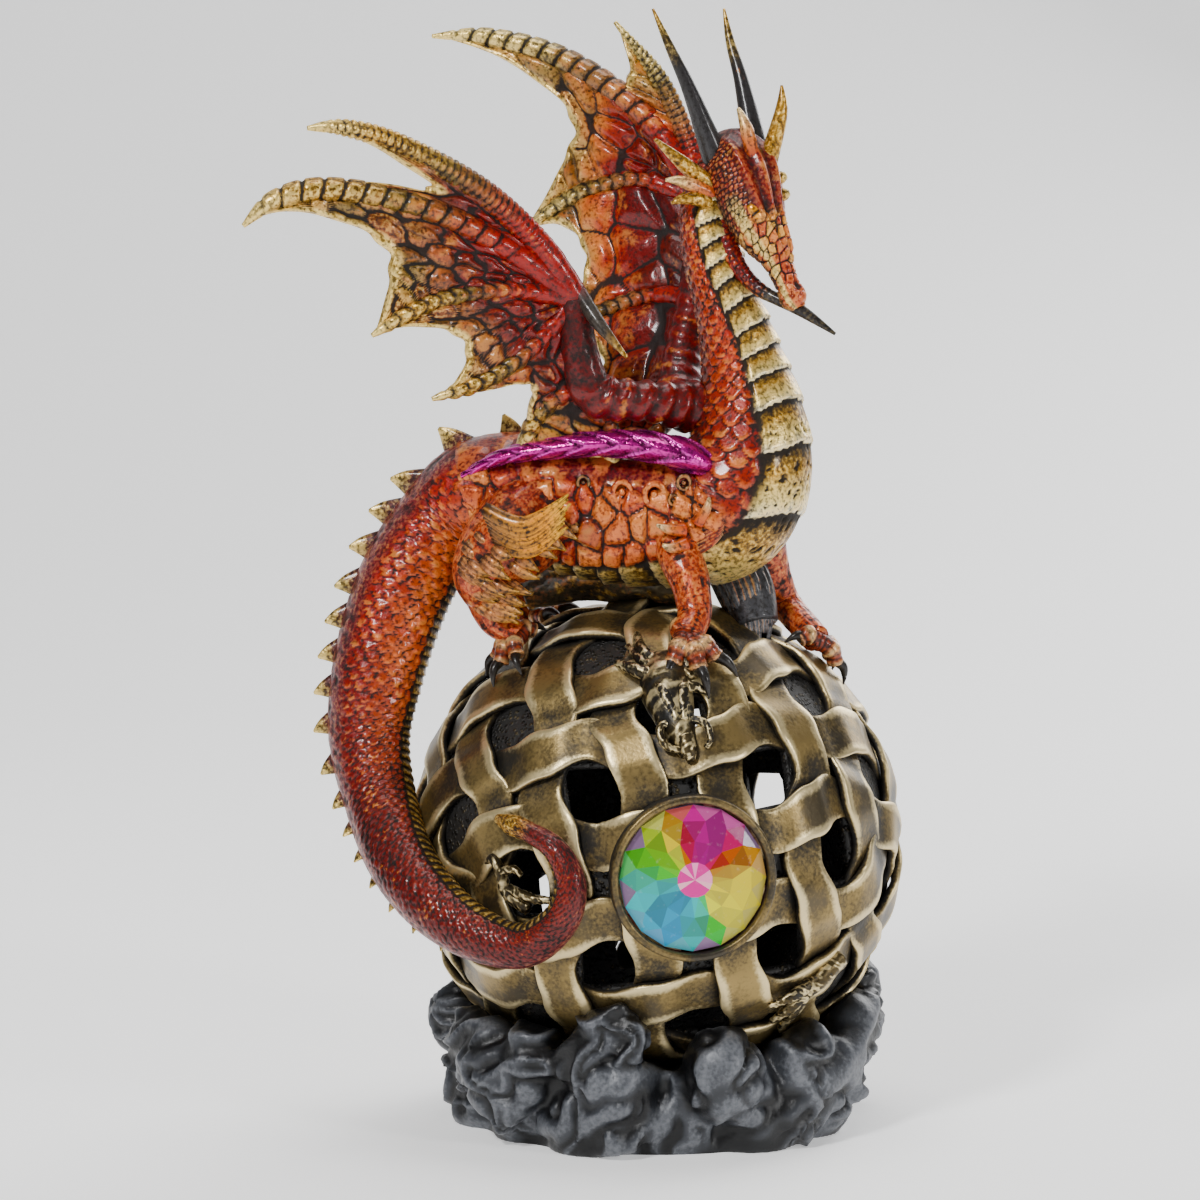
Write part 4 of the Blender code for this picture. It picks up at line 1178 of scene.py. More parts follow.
@dataclass
class Head:
    """Skull, jaw, brows, horns, cheek spines and eyes."""

    ridges: tuple[float, ...] = (0.42, 1.02, 1.62, -0.42, -1.02, -1.62)

    def skull_coat(self, s: Array, angle: Array, radius: Array) -> Coat:
        """The coat of the skull.

        Args:
            s: millimetres from the back of the skull.
            angle: angle from the bridge of the nose.
            radius: the skull's radius.

        Returns:
            The coat.
        """
        s, angle = np.broadcast_arrays(s, angle)
        off = turned(angle, 0.0)
        share = s / s.max()
        height = np.zeros(s.shape)
        crest = np.zeros(s.shape)
        for middle in self.ridges:
            line = np.exp(-(((off - middle * (1 - 0.45 * share)) / 0.13) ** 2))
            crest = np.maximum(crest, line * step(share, 0.06, 0.2) * (1 - step(share, 0.66, 0.8)))
        height += 1.0 * crest
        fine = noise(s * 2.2, angle * 12, 5, 3)
        beads = cells(s / 0.95, angle * radius / 0.95, 15, 0.6)
        bead = step(beads.edge, 0.02, 0.5)
        cheek = step(np.abs(off), 1.35, 1.65) * (1 - step(share, 0.62, 0.72))
        plates = cells(s / 1.9, angle * radius / 1.7, 25, 0.7)
        plate = step(plates.edge, 0.03, 0.35)
        snout = step(share + 0.05 * (fine - 0.5), 0.46, 0.58)
        height += 0.22 * bead * cheek + 0.34 * plate * snout + 0.10 * fine
        dome = blend(blend(DEEP_RED, WINE, step(fine, 0.42, 0.7) * 0.9), SCARLET, crest * 0.8)
        dome = blend(dome, (0.12, 0.02, 0.035), (1 - step(np.abs(off), 0.15, 0.5)) * 0.7 * (1 - snout))
        paint = blend(dome, blend(WINE, SCARLET, beads.number * 0.8), cheek * 0.85)
        face = ramp(plates.number, ((0.0, SCARLET), (0.3, ORANGE), (0.6, PEACH), (1.0, (0.80, 0.42, 0.05))))
        paint = blend(paint, face, snout)
        paint = blend(paint, ORANGE, step(share, 0.80, 0.86))
        lip = step(np.abs(off), 1.75, 1.95) * (1 - step(np.abs(off), 2.25, 2.45)) * step(share, 0.35, 0.5)
        paint = blend(paint, PALE_GOLD, lip * 0.8)
        relief = clamp(0.48 + 0.42 * crest + 0.15 * (fine - 0.5))
        relief = relief * (1 - cheek) + clamp(0.1 + 0.9 * bead) * cheek
        nose = step(share, 0.84, 0.89)
        relief = relief * (1 - snout) + clamp(0.1 + 0.85 * np.maximum(plate, nose)) * snout
        hollow = np.exp(-(((share - 0.50) / 0.06) ** 2) - (((np.abs(off) - 0.95) / 0.22) ** 2))
        nostril = np.exp(-(((share - 0.905) / 0.022) ** 2) - (((np.abs(off) - 0.75) / 0.28) ** 2))
        under = step(np.abs(off), 2.45, 2.7)
        paint = blend(paint, (0.05, 0.01, 0.01), under)
        height = height - 0.4 * hollow - 0.7 * nostril
        relief = clamp(relief - 0.4 * hollow - 1.5 * nostril)
        return Coat(height, paint, relief, clamp(0.12 + 0.5 * lip + 0.25 * snout * plates.number))

    def jaw_coat(self, s: Array, angle: Array, radius: Array) -> Coat:
        """The coat of the jaw: red at the hinge, a black spike at the chin."""
        s, angle = np.broadcast_arrays(s, angle)
        share = s / s.max()
        beads = cells(s / 1.1, angle * radius / 1.0, 35, 0.6)
        bead = step(beads.edge, 0.02, 0.4)
        paint = ramp(
            share, ((0.0, DEEP_RED), (0.35, RED), (0.48, WINE), (0.55, (0.035, 0.028, 0.025)), (1.0, BLACK))
        )
        spike = step(share, 0.5, 0.6)
        height = 0.22 * bead * (1 - spike)
        return Coat(height, paint, clamp((0.15 + 0.8 * bead) * (1 - spike) + 0.55 * spike), 0.1 * spike)

    def horns(self) -> list[bpy.types.Object]:
        """Two long dark horns, a gold one, a small one on the brow and two cheek spines a side.

        Returns:
            The pieces.
        """
        dark = horn_cover(
            ((0.0, (0.03, 0.028, 0.03)), (0.62, (0.02, 0.018, 0.018)), (0.85, OLIVE), (1.0, GOLD)), 0.6
        )
        gold = horn_cover(((0.0, OLIVE), (0.3, GOLD), (1.0, GOLD)), 0.0)
        peach = horn_cover(((0.0, SCARLET), (0.4, PEACH), (1.0, BONE)), 0.5)
        tables = (
            (dark, (
                (10.4, -10.5, 77.5, 2.5), (5.6, -12.0, 89.8, 1.4), (1.9, -12.0, 97.8, 0.85),
                (-1.0, -11.0, 104.3, 0.25),
            )),
            (dark, (
                (17.6, -7.0, 78.5, 2.5), (15.0, -4.0, 91.5, 1.4), (12.9, -2.0, 99.2, 0.85),
                (11.8, -1.0, 105.1, 0.25),
            )),
            (gold, ((18.6, -11.0, 75.5, 1.9), (21.4, -12.0, 85.8, 1.25), (21.6, -12.0, 91.0, 0.25))),
            (peach, ((16.6, -14.2, 77.8, 1.2), (15.4, -15.0, 83.0, 1.2), (13.9, -14.0, 86.9, 0.35))),
            (gold, ((10.5, -11.5, 72.6, 1.7), (3.7, -14.0, 77.8, 1.2), (-0.7, -15.0, 81.5, 0.3))),
            (peach, ((10.5, -12.0, 71.4, 1.4), (4.6, -15.0, 74.0, 1.1), (1.2, -16.0, 74.4, 0.3))),
            (gold, ((10.5, -11.4, 70.2, 1.5), (6.0, -14.6, 71.2, 1.2), (2.2, -15.8, 70.4, 0.3))),
            (peach, ((10.2, -2.5, 73.2, 1.0), (5.2, 0.6, 76.4, 0.8), (2.0, 1.6, 79.3, 0.2))),
            (gold, ((10.2, -3.0, 71.4, 1.0), (6.0, 0.2, 72.4, 0.7), (3.0, 1.2, 71.4, 0.2))),
        )
        up = np.array([0.0, -1.0, 0.0])
        return [Loft("horn", Rail(on_figure(t)), cover, 34, 14, up=up).build() for cover, t in tables]

    def brow_cover(self, along: Array, angle: Array, radius: Array) -> Coat:
        """Knobs along a brow, gilded on top."""
        along, angle = np.broadcast_arrays(along, angle)
        beat = 0.5 + 0.5 * np.cos(along * 2.1)
        paint = blend(blend(RED, SCARLET, beat), PEACH, step(along / along.max(), 0.45, 0.9) * 0.8)
        return Coat(0.28 * beat, paint, clamp(0.2 + 0.8 * beat), 0.3 * beat)

    def bumps(self) -> list[bpy.types.Object]:
        """Gold knobs on the brow's edge."""
        made = []
        gold = horn_cover(((0.0, ORANGE), (0.5, GOLD), (1.0, PALE_GOLD)), 0.2)
        for x, y, z in ((21.7, -11.0, 75.0), (22.2, -11.4, 72.0), (20.8, -8.6, 73.4)):
            table = ((x - 1.2, y, z - 0.3, 1.1), (x, y, z, 1.15), (x + 0.9, y, z + 0.3, 0.5))
            made.append(
                Loft("knob", Rail(on_figure(table)), gold, 10, 12, up=np.array([0.0, -1.0, 0.0])).build()
            )
        return made

    def eye(self, x: float, y: float, z: float, side: float) -> bpy.types.Object:
        """An almond eye with a slit, set under the brow.

        Args:
            x: place in millimetres.
            y: place in millimetres.
            z: height above the orb's top in millimetres.
            side: -1 on the viewer's side and 1 on the other.

        Returns:
            The piece.
        """
        table = (
            (x - 1.5, y, z + 1.7, 0.25), (x - 0.6, y + 0.25 * side, z + 0.7, 0.85),
            (x + 0.5, y + 0.25 * side, z - 0.5, 0.85), (x + 1.5, y, z - 1.6, 0.25),
        )

        def cover(along: Array, angle: Array, radius: Array) -> Coat:
            """Amber with a dark slit and a dark rim."""
            along, angle = np.broadcast_arrays(along, angle)
            t = along / along.max()
            slit = np.exp(-(((t - 0.5) / 0.07) ** 2))
            rim = step(np.abs(t - 0.5), 0.34, 0.46)
            paint = blend(blend(YELLOW, BLACK, slit), BLACK, rim)
            return Coat(0.0 * t, paint, 0.75 - 0.5 * np.maximum(slit, rim), 0.2 + 0.0 * t)

        return Loft(
            "eye", Rail(on_figure(table)), cover, 24, 16, up=np.array([0.0, float(side), 0.0])
        ).build()

    def build(self, shop: Workshop) -> None:
        """Makes and dresses the head."""
        up = np.array([0.9, 0.0, 0.45])
        skull = Loft(
            "skull", Rail(on_figure(SKULL)), self.skull_coat, 190, 132, up=up, deep=0.96, wide=0.98
        ).build()
        jaw = Loft("jaw", Rail(on_figure(JAW)), self.jaw_coat, 110, 32, up=up).build()
        parts = [skull, jaw]
        parts += [Loft("brow", Rail(on_figure(t)), self.brow_cover, 44, 18, up=up).build() for t in BROWS]
        head = Bench.join("head", parts)
        shop.paint(head)
        shop.paint(Bench.join("horns", self.horns() + self.bumps()))
        eyes = [self.eye(16.9, -17.2, 68.6, -1), self.eye(20.6, -8.6, 68.0, 1)]
        shop.paint(Bench.join("eyes", eyes), PaintedResin(name="eye_enamel", roughness=0.08, rub_and_highlight=0.0))


@dataclass
class Wing:
    """A wing: an arm, fingers that fan from the wrist, and a thick carved skin between them."""

    name: str
    arm: Stations
    fingers: tuple[Stations, ...]
    notches: tuple[float, ...]
    cell_along: tuple[float, ...]
    cell_across: tuple[float, ...]
    far: bool
    thickness: float = 1.7
    arm_ribs: float = 0.55

    def skin_paint(self, s: Array, t: Array, panel: int) -> tuple[Array, Array]:
        """Paint and gilding over a panel, by share of the fingers' length.

        Args:
            s: share from the wrist to the tips.
            t: share across the panel.
            panel: which panel.

        Returns:
            The colours, and how gilded they are.
        """
        patch = noise(s * 9, t * 6 + panel * 5, 60, 3)
        x = s + 0.26 * (patch - 0.5) + (0.10 if self.far and panel < 2 else 0.0)
        if self.far:
            stops = ((0.0, WINE), (0.22, DEEP_RED), (0.38, RED), (0.48, SCARLET), (0.56, PEACH),
                (0.66, (0.34, 0.15, 0.03)),
                     (0.72, OLIVE), (0.88, GOLD), (1.0, PALE_GOLD))
            return ramp(x, stops), step(x, 0.50, 0.72)
        stops = ((0.0, DEEP_RED), (0.22, RED), (0.38, (0.16, 0.010, 0.005)), (0.50, (0.22, 0.070, 0.014)),
                 (0.62, OLIVE), (0.80, GOLD), (1.0, PALE_GOLD))
        return ramp(x, stops), step(x, 0.45, 0.70)

    def panel(self, k: int) -> bpy.types.Object:
        """The carved skin between two fingers, thick in the middle and closed round its edge.

        Args:
            k: the panel's number.

        Returns:
            The piece.
        """
        first, second = Rail(on_figure(self.fingers[k])), Rail(on_figure(self.fingers[k + 1]))
        long = max(first.length, second.length) / MM
        wide = np.linalg.norm(
            first.by_share(np.array([0.8]))[0, :3] - second.by_share(np.array([0.8]))[0, :3]
        ) / MM
        nu, nv = int(np.clip(long / 0.44, 30, 150)), int(np.clip(wide / 0.44, 24, 90))
        s0 = np.linspace(0, 1, nu + 1)[:, None]
        t = np.linspace(0, 1, nv + 1)[None, :]
        reach = 1 - self.notches[k] * (4 * t * (1 - t)) ** 0.8 - 0.03
        ragged = 0.010 * np.sin(t * 29 + k) * np.sin(t * math.pi)
        s = s0 * (reach + ragged)
        a = first.by_share(s.reshape(-1))[:, :3].reshape(nu + 1, nv + 1, 3)
        b = second.by_share(s.reshape(-1))[:, :3].reshape(nu + 1, nv + 1, 3)
        mid = a * (1 - t[..., None]) + b * t[..., None]
        along, across = np.gradient(mid, axis=0), np.gradient(mid, axis=1)
        normal = unit(np.cross(along, across) + 1e-12)
        if np.median(normal[..., 1]) > 0:
            normal = -normal
        warp = noise(s * self.cell_along[k] * 1.3, t * self.cell_across[k] * 1.3, 140 + k, 2) - 0.5
        twist = noise(s * self.cell_along[k] * 1.3, t * self.cell_across[k] * 1.3, 240 + k, 2) - 0.5
        seed = 100 + 9 * k + (50 if self.far else 0)
        bent = 0.3 if self.far else 0.6
        found = cells(s * self.cell_along[k] + bent * warp, t * self.cell_across[k] + bent * twist, seed, 0.7)
        dome = step(found.edge, 0.05, 0.60) * (1 - 0.5 * clamp(found.near / 0.6) ** 2)
        fine = noise(s * long / 0.9, t * wide / 0.9, 70 + k, 3)
        paint, gilt = self.skin_paint(s, t + 0 * s, k)
        paint = blend(
            paint, blend(paint, PEACH if self.far else ORANGE, 0.6),
            step(found.number, 0.45, 0.9) * (0.05 + 0.5 * step(s, 0.3, 0.6))
        )
        paint = blend(paint, blend(paint, WINE, 0.7), step(1 - found.number, 0.6, 0.95) * 0.5)
        ring = np.exp(
            -(((found.near - 0.34) / 0.09) ** 2)
        ) * step(found.number, 0.62, 0.7) * (0.0 if self.far else 1.0)
        crack = (0.02, 0.10) if self.far else (0.06, 0.24)
        pebble = step(found.edge, *crack) * (1 - step(found.near, 0.56, 0.74))
        relief = clamp(0.02 + 0.88 * pebble + 0.2 * (fine - 0.5) - 0.5 * ring)
        relief = relief * (0.80 + 0.20 * step(s, 0.25, 0.5))
        rim = step(s / np.maximum(reach, 0.05), 0.90, 0.97)
        paint = blend(paint, blend(GOLD, PALE_GOLD, fine), rim * 0.95)
        relief = clamp(relief * (1 - rim) + rim * (0.55 + 0.45 * step(fine, 0.3, 0.5)))
        gilt = clamp(gilt * 0.8 * found.number + rim)
        edge = np.minimum(t, 1 - t)
        body = step(edge, 0.0, 0.10) * (1 - step(s0, 0.975, 1.0)) * step(s0, 0.0, 0.02)
        swell = (
            1.1 if self.far else 0.8
        ) * dome**0.7 * (1 - rim) + 0.35 * rim - 0.25 * ring * (1 - rim) + 0.08 * fine
        half = (self.thickness * 0.30 + swell) * MM * body
        front = mid + normal * half[..., None]
        back = (mid - normal * half[..., None] * 0.9)[:, ::-1]
        points = np.concatenate([front, back[:, 1:]], axis=1)

        def both(values: Array) -> Array:
            """Values for the front, then for the back."""
            return np.concatenate([values, values[:, ::-1][:, 1:]], axis=1)

        shape = relief.shape
        coat = Coat(
            both(half), both(np.broadcast_to(paint, (*shape, 3))), both(relief),
            both(np.broadcast_to(gilt, shape)),
        )
        return Bench.net(f"{self.name}_skin", points, coat)

    def finger_cover(self, k: int) -> Cover:
        """The cover of one finger: beaded or plated, red at the wrist and gilded at the tip.

        Args:
            k: the finger's number.

        Returns:
            The cover.
        """

        def cover(along: Array, angle: Array, radius: Array) -> Coat:
            """The finger's coat."""
            along, angle = np.broadcast_arrays(along, angle)
            t = along / along.max()
            pitch = 1.25 if k == 0 else 2.6
            if k == 1:
                part = np.mod(along / 3.6 + 0.15 * np.sin(angle), 1.0)
                block = step(part, 0.0, 0.14) * (1 - step(part, 0.80, 0.95))
            else:
                part = np.mod(along / pitch + 0.25 * np.cos(angle * 2), 1.0)
                block = np.sin(part * math.pi) ** 0.7
            sides = np.abs(np.cos(angle * (3 if k == 0 else 1.5)))
            block = block * (0.45 + 0.55 * sides)
            fade = step(t, 0.12, 0.3)
            wrinkle = noise(along / 2.2, angle * 2.0, 90 + k, 3)
            block = block * fade + (1 - fade) * (0.35 + 0.6 * wrinkle)
            tip = step(t, 0.90, 0.97)
            block = block * (1 - tip) + tip * 0.8
            x = t + 0.15 * (wrinkle - 0.5)
            if self.far:
                stops = (
                    (0.0, RED), (0.25, SCARLET), (0.42, (0.34, 0.13, 0.03)), (0.6, OLIVE), (1.0, PALE_GOLD)
                )
            else:
                stops = (
                    (0.0, RED), (0.30, SCARLET), (0.42, (0.26, 0.06, 0.012)), (0.54, OLIVE), (0.8, GOLD),
                    (1.0, PALE_GOLD)
                )
            return Coat(
                0.55 * (block - 0.4), ramp(x, stops), clamp(0.05 + 0.9 * block),
                step(x, 0.5, 0.75) * (0.3 + 0.7 * block)
            )

        return cover

    def arm_cover(self, along: Array, angle: Array, radius: Array) -> Coat:
        """The arm's coat: glossy red folds like rolled cloth."""
        along, angle = np.broadcast_arrays(along, angle)
        t = along / along.max()
        folds = np.sin(along * 1.9 + 1.4 * np.sin(angle))
        ribs = (0.5 + 0.5 * folds) * (1 - step(t, 0.45, 0.7))
        veins = 1 - np.abs(2 * noise(along / 3.0, angle * 1.5, 44, 3) - 1)
        paint = blend(blend(WINE, DEEP_RED, clamp(0.3 + ribs)), RED, 0.5 * veins)
        return Coat(self.arm_ribs * ribs + 0.4 * veins, paint, clamp(0.15 + 0.42 * ribs + 0.3 * veins), 0 * t)

    def build(self, shop: Workshop) -> None:
        """Makes and dresses the wing.

        Args:
            shop: gives the finish.
        """
        up = np.array([0.0, -1.0, 0.0])
        panels = [self.panel(k) for k in range(len(self.fingers) - 1)]
        shop.paint(Bench.join(f"{self.name}_skin", panels))
        bones = []
        for k, table in enumerate(self.fingers):
            stations = on_figure(table)
            stations[-1, 3] *= 0.3 if k < 4 and stations[-1, 3] < 1.0 * MM else 1.0
            rail = Rail(stations)
            rows = int(np.clip(rail.length / MM / 0.32, 40, 300))
            bones.append(Loft("finger", rail, self.finger_cover(k), rows, 24, up=up).build())
        bones.append(Loft("arm", Rail(on_figure(self.arm)), self.arm_cover, 130, 48, up=up).build())
        shop.paint(Bench.join(f"{self.name}_bones", bones))


@dataclass
class Leg:
    """A leg and its foot: stations, the foot's place on the orb, its heading and size."""

    name: str
    stations: Stations
    azimuth: float
    elevation: float
    heading: float
    size: float
    colour: tuple

    def cover(self, along: Array, angle: Array, radius: Array) -> Coat:
        """The leg's coat: stringy hatched skin."""
        along, angle = np.broadcast_arrays(along, angle)
        t = along / along.max()
        strings = noise(along / 5.0, angle * 3.2 + 0.08 * along, 12, 4)
        hatch = noise(along / 0.55, angle * 2.0, 13, 2)
        ridge = 1 - np.abs(2 * strings - 1)
        paint = blend(blend(UMBER, self.colour, clamp(ridge * 1.3)), PEACH, step(ridge, 0.8, 1.0) * 0.4)
        paint = blend(paint, RED, (1 - step(t, 0.1, 0.35)) * 0.6)
        relief = clamp(0.10 + 0.75 * ridge - 0.35 * step(hatch, 0.55, 0.70))
        return Coat(0.55 * ridge * np.clip(radius / 5, 0.3, 1.2), paint, relief, 0.25 * ridge)

    def foot(self) -> tuple[list[bpy.types.Object], list[bpy.types.Object]]:
        """Toes with knuckles, and their claws.

        Returns:
            The toes, then the claws.
        """
        toes, claws = [], []
        spots = ((-34, 1.0), (0, 1.15), (34, 1.0), (180, 0.6))
        for turn, reach in spots:
            angle = math.radians(self.heading + turn)

            def spot(share: float, lift: float, radius: float) -> list[float]:
                """One station of a toe."""
                out = share * reach * self.size * MM / ORB_RADIUS
                east = math.degrees(out * math.cos(angle)) / math.cos(math.radians(self.elevation))
                north = math.degrees(out * math.sin(angle))
                place = on_orb(
                    np.array(self.azimuth + east), np.array(self.elevation + north),
                    np.array(lift * self.size * MM)
                )
                return [*place, radius * self.size * MM]

            rail = Rail(
                [spot(0, 1.2, 0.8), spot(0.9, 1.35, 0.62), spot(1.6, 1.25, 0.6), spot(2.3, 0.75, 0.5)]
            )

            def toe_cover(along: Array, phi: Array, radius: Array) -> Coat:
                """Knuckled skin, paler on the knuckles."""
                along, phi = np.broadcast_arrays(along, phi)
                t = along / along.max()
                knuckle = np.exp(-(((t - 0.55) / 0.13) ** 2)) + 0.8 * np.exp(-(((t - 0.95) / 0.1) ** 2))
                wrinkle = 0.5 + 0.5 * np.sin(along * 7)
                paint = blend(
                    blend(BLACK, self.colour, 0.25 + 0.35 * wrinkle), BONE, clamp(knuckle * 0.7) ** 2
                )
                return Coat(
                    0.35 * knuckle + 0.08 * wrinkle, paint, clamp(0.35 + 0.5 * knuckle + 0.2 * wrinkle),
                    0.3 * knuckle
                )

            up = np.array([0.0, -0.3, 1.0])
            toes.append(Loft("toe", rail, toe_cover, 30, 16, up=up).build())
            tip = Rail(
                [spot(2.1, 0.95, 0.46), spot(2.9, 0.95, 0.36), spot(3.5, 0.55, 0.22), spot(3.95, 0.05, 0.05)]
            )
            claw = horn_cover(((0.0, (0.05, 0.035, 0.02)), (0.3, BLACK), (1.0, (0.03, 0.025, 0.02))), 2.0)
            claws.append(Loft("claw", tip, claw, 18, 12, up=up).build())
        return toes, claws

    def build(self) -> tuple[list[bpy.types.Object], list[bpy.types.Object]]:
        """The leg with its toes, and its claws."""
        ankle = on_orb(np.array(self.azimuth), np.array(self.elevation), np.array(self.size * MM * 1.3))
        stations = np.concatenate([on_figure(self.stations), [[*ankle, self.size * MM]]])
        skin = Loft(self.name, Rail(stations), self.cover, 120, 56, up=np.array([0.6, -0.8, 0.0])).build()
        toes, claws = self.foot()
        return [skin, *toes], claws


@dataclass
class Strand:
    """A lock of carved hair: a flattened tapering tube along a bent line."""

    root: tuple[float, float, float]
    middle: tuple[float, float, float]
    tip: tuple[float, float, float]
    width: float
    stops: tuple
    gilt: float = 0.5

    def build(self) -> bpy.types.Object:
        """The lock as a piece."""
        table = ((*self.root, self.width * 0.8), (*self.middle, self.width), (*self.tip, self.width * 0.12))

        def cover(along: Array, angle: Array, radius: Array) -> Coat:
            """Grooved along its length, paler on its ridge."""
            along, angle = np.broadcast_arrays(along, angle)
            t = along / along.max()
            groove = 0.5 + 0.5 * np.cos(angle * 5)
            return Coat(
                0.10 * groove * (1 - t), ramp(t, self.stops), clamp(0.2 + 0.75 * groove), self.gilt * groove
            )

        return Loft(
            "lock", Rail(on_figure(table)), cover, 14, 14, up=np.array([0.0, -1.0, 0.2]), deep=0.6
        ).build()


@dataclass
class Trimmings:
    """What is carved on the trunk: flank plates, bosses, tufts of hair, elbow spikes, saddle and thumb."""

    plates: int = 9
    boss_facing: tuple[float, float, float] = (0.1, -1.0, -0.1)

    def plate_cover(self, along: Array, angle: Array, radius: Array) -> Coat:
        """Glossy chevron plates, each lapping over the next towards the tail."""
        along, angle = np.broadcast_arrays(along, angle)
        t = along / along.max()
        side = np.abs(turned(angle, 0.0))
        place = (t**0.80) * self.plates + 0.85 * side
        part = 1 - np.mod(place, 1.0)
        height = 0.55 * part * np.clip(radius / 3, 0.4, 1.2) + 0.12 * np.cos(side * 2)
        paint = blend((0.16, 0.001, 0.08), MAGENTA, step(part, 0.05, 0.5))
        paint = blend(paint, (0.90, 0.05, 0.60), step(part, 0.72, 1.0) * 0.6)
        return Coat(height, paint, clamp(0.45 + 0.6 * part), 0 * part)

    def ring(self, x: float, y: float, z: float, size: float, colour: tuple) -> list[bpy.types.Object]:
        """A ring boss: a torus with a bead in it, pressed on the flank.

        Args:
            x: place in millimetres.
            y: place in millimetres.
            z: height above the orb's top.
            size: the ring's radius in millimetres.
            colour: its paint.

        Returns:
            The pieces.
        """
        centre = Vector((x, y, z)) * MM + Vector(ORB_TOP)
        facing = Vector(self.boss_facing).normalized()
        turn = facing.to_track_quat("Z", "Y").to_matrix().to_4x4()
        made = []
        Bench.clear()
        bpy.ops.mesh.primitive_torus_add(
            major_radius=size * MM, minor_radius=size * 0.34 * MM, major_segments=28, minor_segments=12
        )
        made.append(bpy.context.object)
        Bench.clear()
        bpy.ops.mesh.primitive_uv_sphere_add(radius=size * 0.42 * MM, segments=14, ring_count=10)
        made.append(bpy.context.object)
        for piece in made:
            mesh = piece.data
            mesh.transform(Matrix.Translation(centre) @ turn @ Matrix.Diagonal((1, 1.12, 1.1, 1)))
            high = (Bench.points(mesh) - np.array(centre)) @ np.array(facing)
            Bench.tint(mesh, np.tile(colour, (len(high), 1)))
            Bench.mark(mesh, "relief", clamp(0.35 + 0.6 * high / (size * 0.36 * MM)))
            Bench.mark(mesh, "gilt", np.full(len(high), 0.2))
            Bench.close(piece)
        return made

    def bosses(self) -> list[bpy.types.Object]:
        """The ring bosses and dark knobs on the flank."""
        made = []
        for x, y, z, size, colour in (
            (-6.4, -16.6, 19.9, 1.55, ORANGE), (-0.7, -17.6, 19.5, 1.75, ORANGE),
            (-12.2, -15.0, 12.2, 1.5, UMBER),
            (-13.2, -15.2, 21.4, 1.0, BLACK), (4.4, -18.2, 21.6, 1.1, BLACK), (2.6, -18.6, 18.6, 0.8, UMBER),
            (-9.6, -16.2, 15.8, 0.8, SCARLET), (1.8, -14.8, 8.2, 1.5, OLIVE), (8.8, -17.0, 17.4, 1.0, GOLD),
        ):
            made += self.ring(x, y, z, size, colour)
        return made

    def thigh_tuft(self) -> list[bpy.types.Object]:
        """Golden feathers that sweep forward over the near thigh, and browner ones below.

        Returns:
            The locks.
        """
        yellow = ((0.0, UMBER), (0.3, (0.45, 0.17, 0.01)), (0.7, YELLOW), (1.0, (0.88, 0.50, 0.03)))
        brown = ((0.0, UMBER), (0.4, (0.50, 0.17, 0.05)), (1.0, GOLD))
        rng = np.random.default_rng(8)
        made = []
        for k in range(9):
            f = k / 8
            root = (-30.5 + 2.0 * f, -18.0, 17.0 - 6.4 * f)
            middle = (-23.5 + 1.0 * f, -20.6, 14.4 - 4.6 * f - 1.0 * math.sin(3.1 * f))
            tip = (-15.6 - 0.8 * f + rng.uniform(-0.5, 0.5), -19.4, 19.6 - 6.6 * f)
            made.append(Strand(root, middle, tip, rng.uniform(0.9, 1.5), yellow, 0.05).build())
        hip = Rail(on_figure(legs()[2].stations))
        for k in range(64):
            share = 0.12 + 0.78 * rng.random()
            side = rng.uniform(-1.15, 1.0)
            place = hip.by_share(np.array([share]))[0] / MM
            x, y, z = place[:3] - ORB_TOP / MM
            size = place[3]
            spot = (x + size * math.sin(side) * 1.02, y - size * math.cos(side) * 1.02, z + 1.5)
            flow = rng.uniform(2.6, 5.0)
            middle = (spot[0] + flow * 0.5, spot[1] - 1.3, spot[2] - flow * 0.40)
            tip = (spot[0] + flow * 1.15, spot[1] - 1.0, spot[2] - flow * rng.uniform(0.5, 0.9))
            made.append(Strand(spot, middle, tip, rng.uniform(0.8, 1.3), brown, 0.15).build())
        return made

    def chest_tuft(self) -> list[bpy.types.Object]:
        """Dark locks that hang below the chest, between the forelegs."""
        grey = ((0.0, BLACK), (0.4, (0.05, 0.052, 0.058)), (1.0, (0.20, 0.21, 0.23)))
        rng = np.random.default_rng(3)
        made = []
        for k in range(26):
            angle = k / 26 * 2 * math.pi
            dx, dy = math.cos(angle), math.sin(angle)
            root = (11.5 + 4.2 * dx, -3.2 + 4.0 * dy, 9.5 + rng.uniform(-1, 1))
            middle = (15.4 + 4.4 * dx, -5.2 + 4.4 * dy, 2.2 + rng.uniform(-1, 1))
            tip = (17.4 + 2.6 * dx, -7.4 + 2.6 * dy, -6.6 + rng.uniform(-1.6, 1.0))
            made.append(Strand(root, middle, tip, 1.25, grey, 0.15).build())
        return made

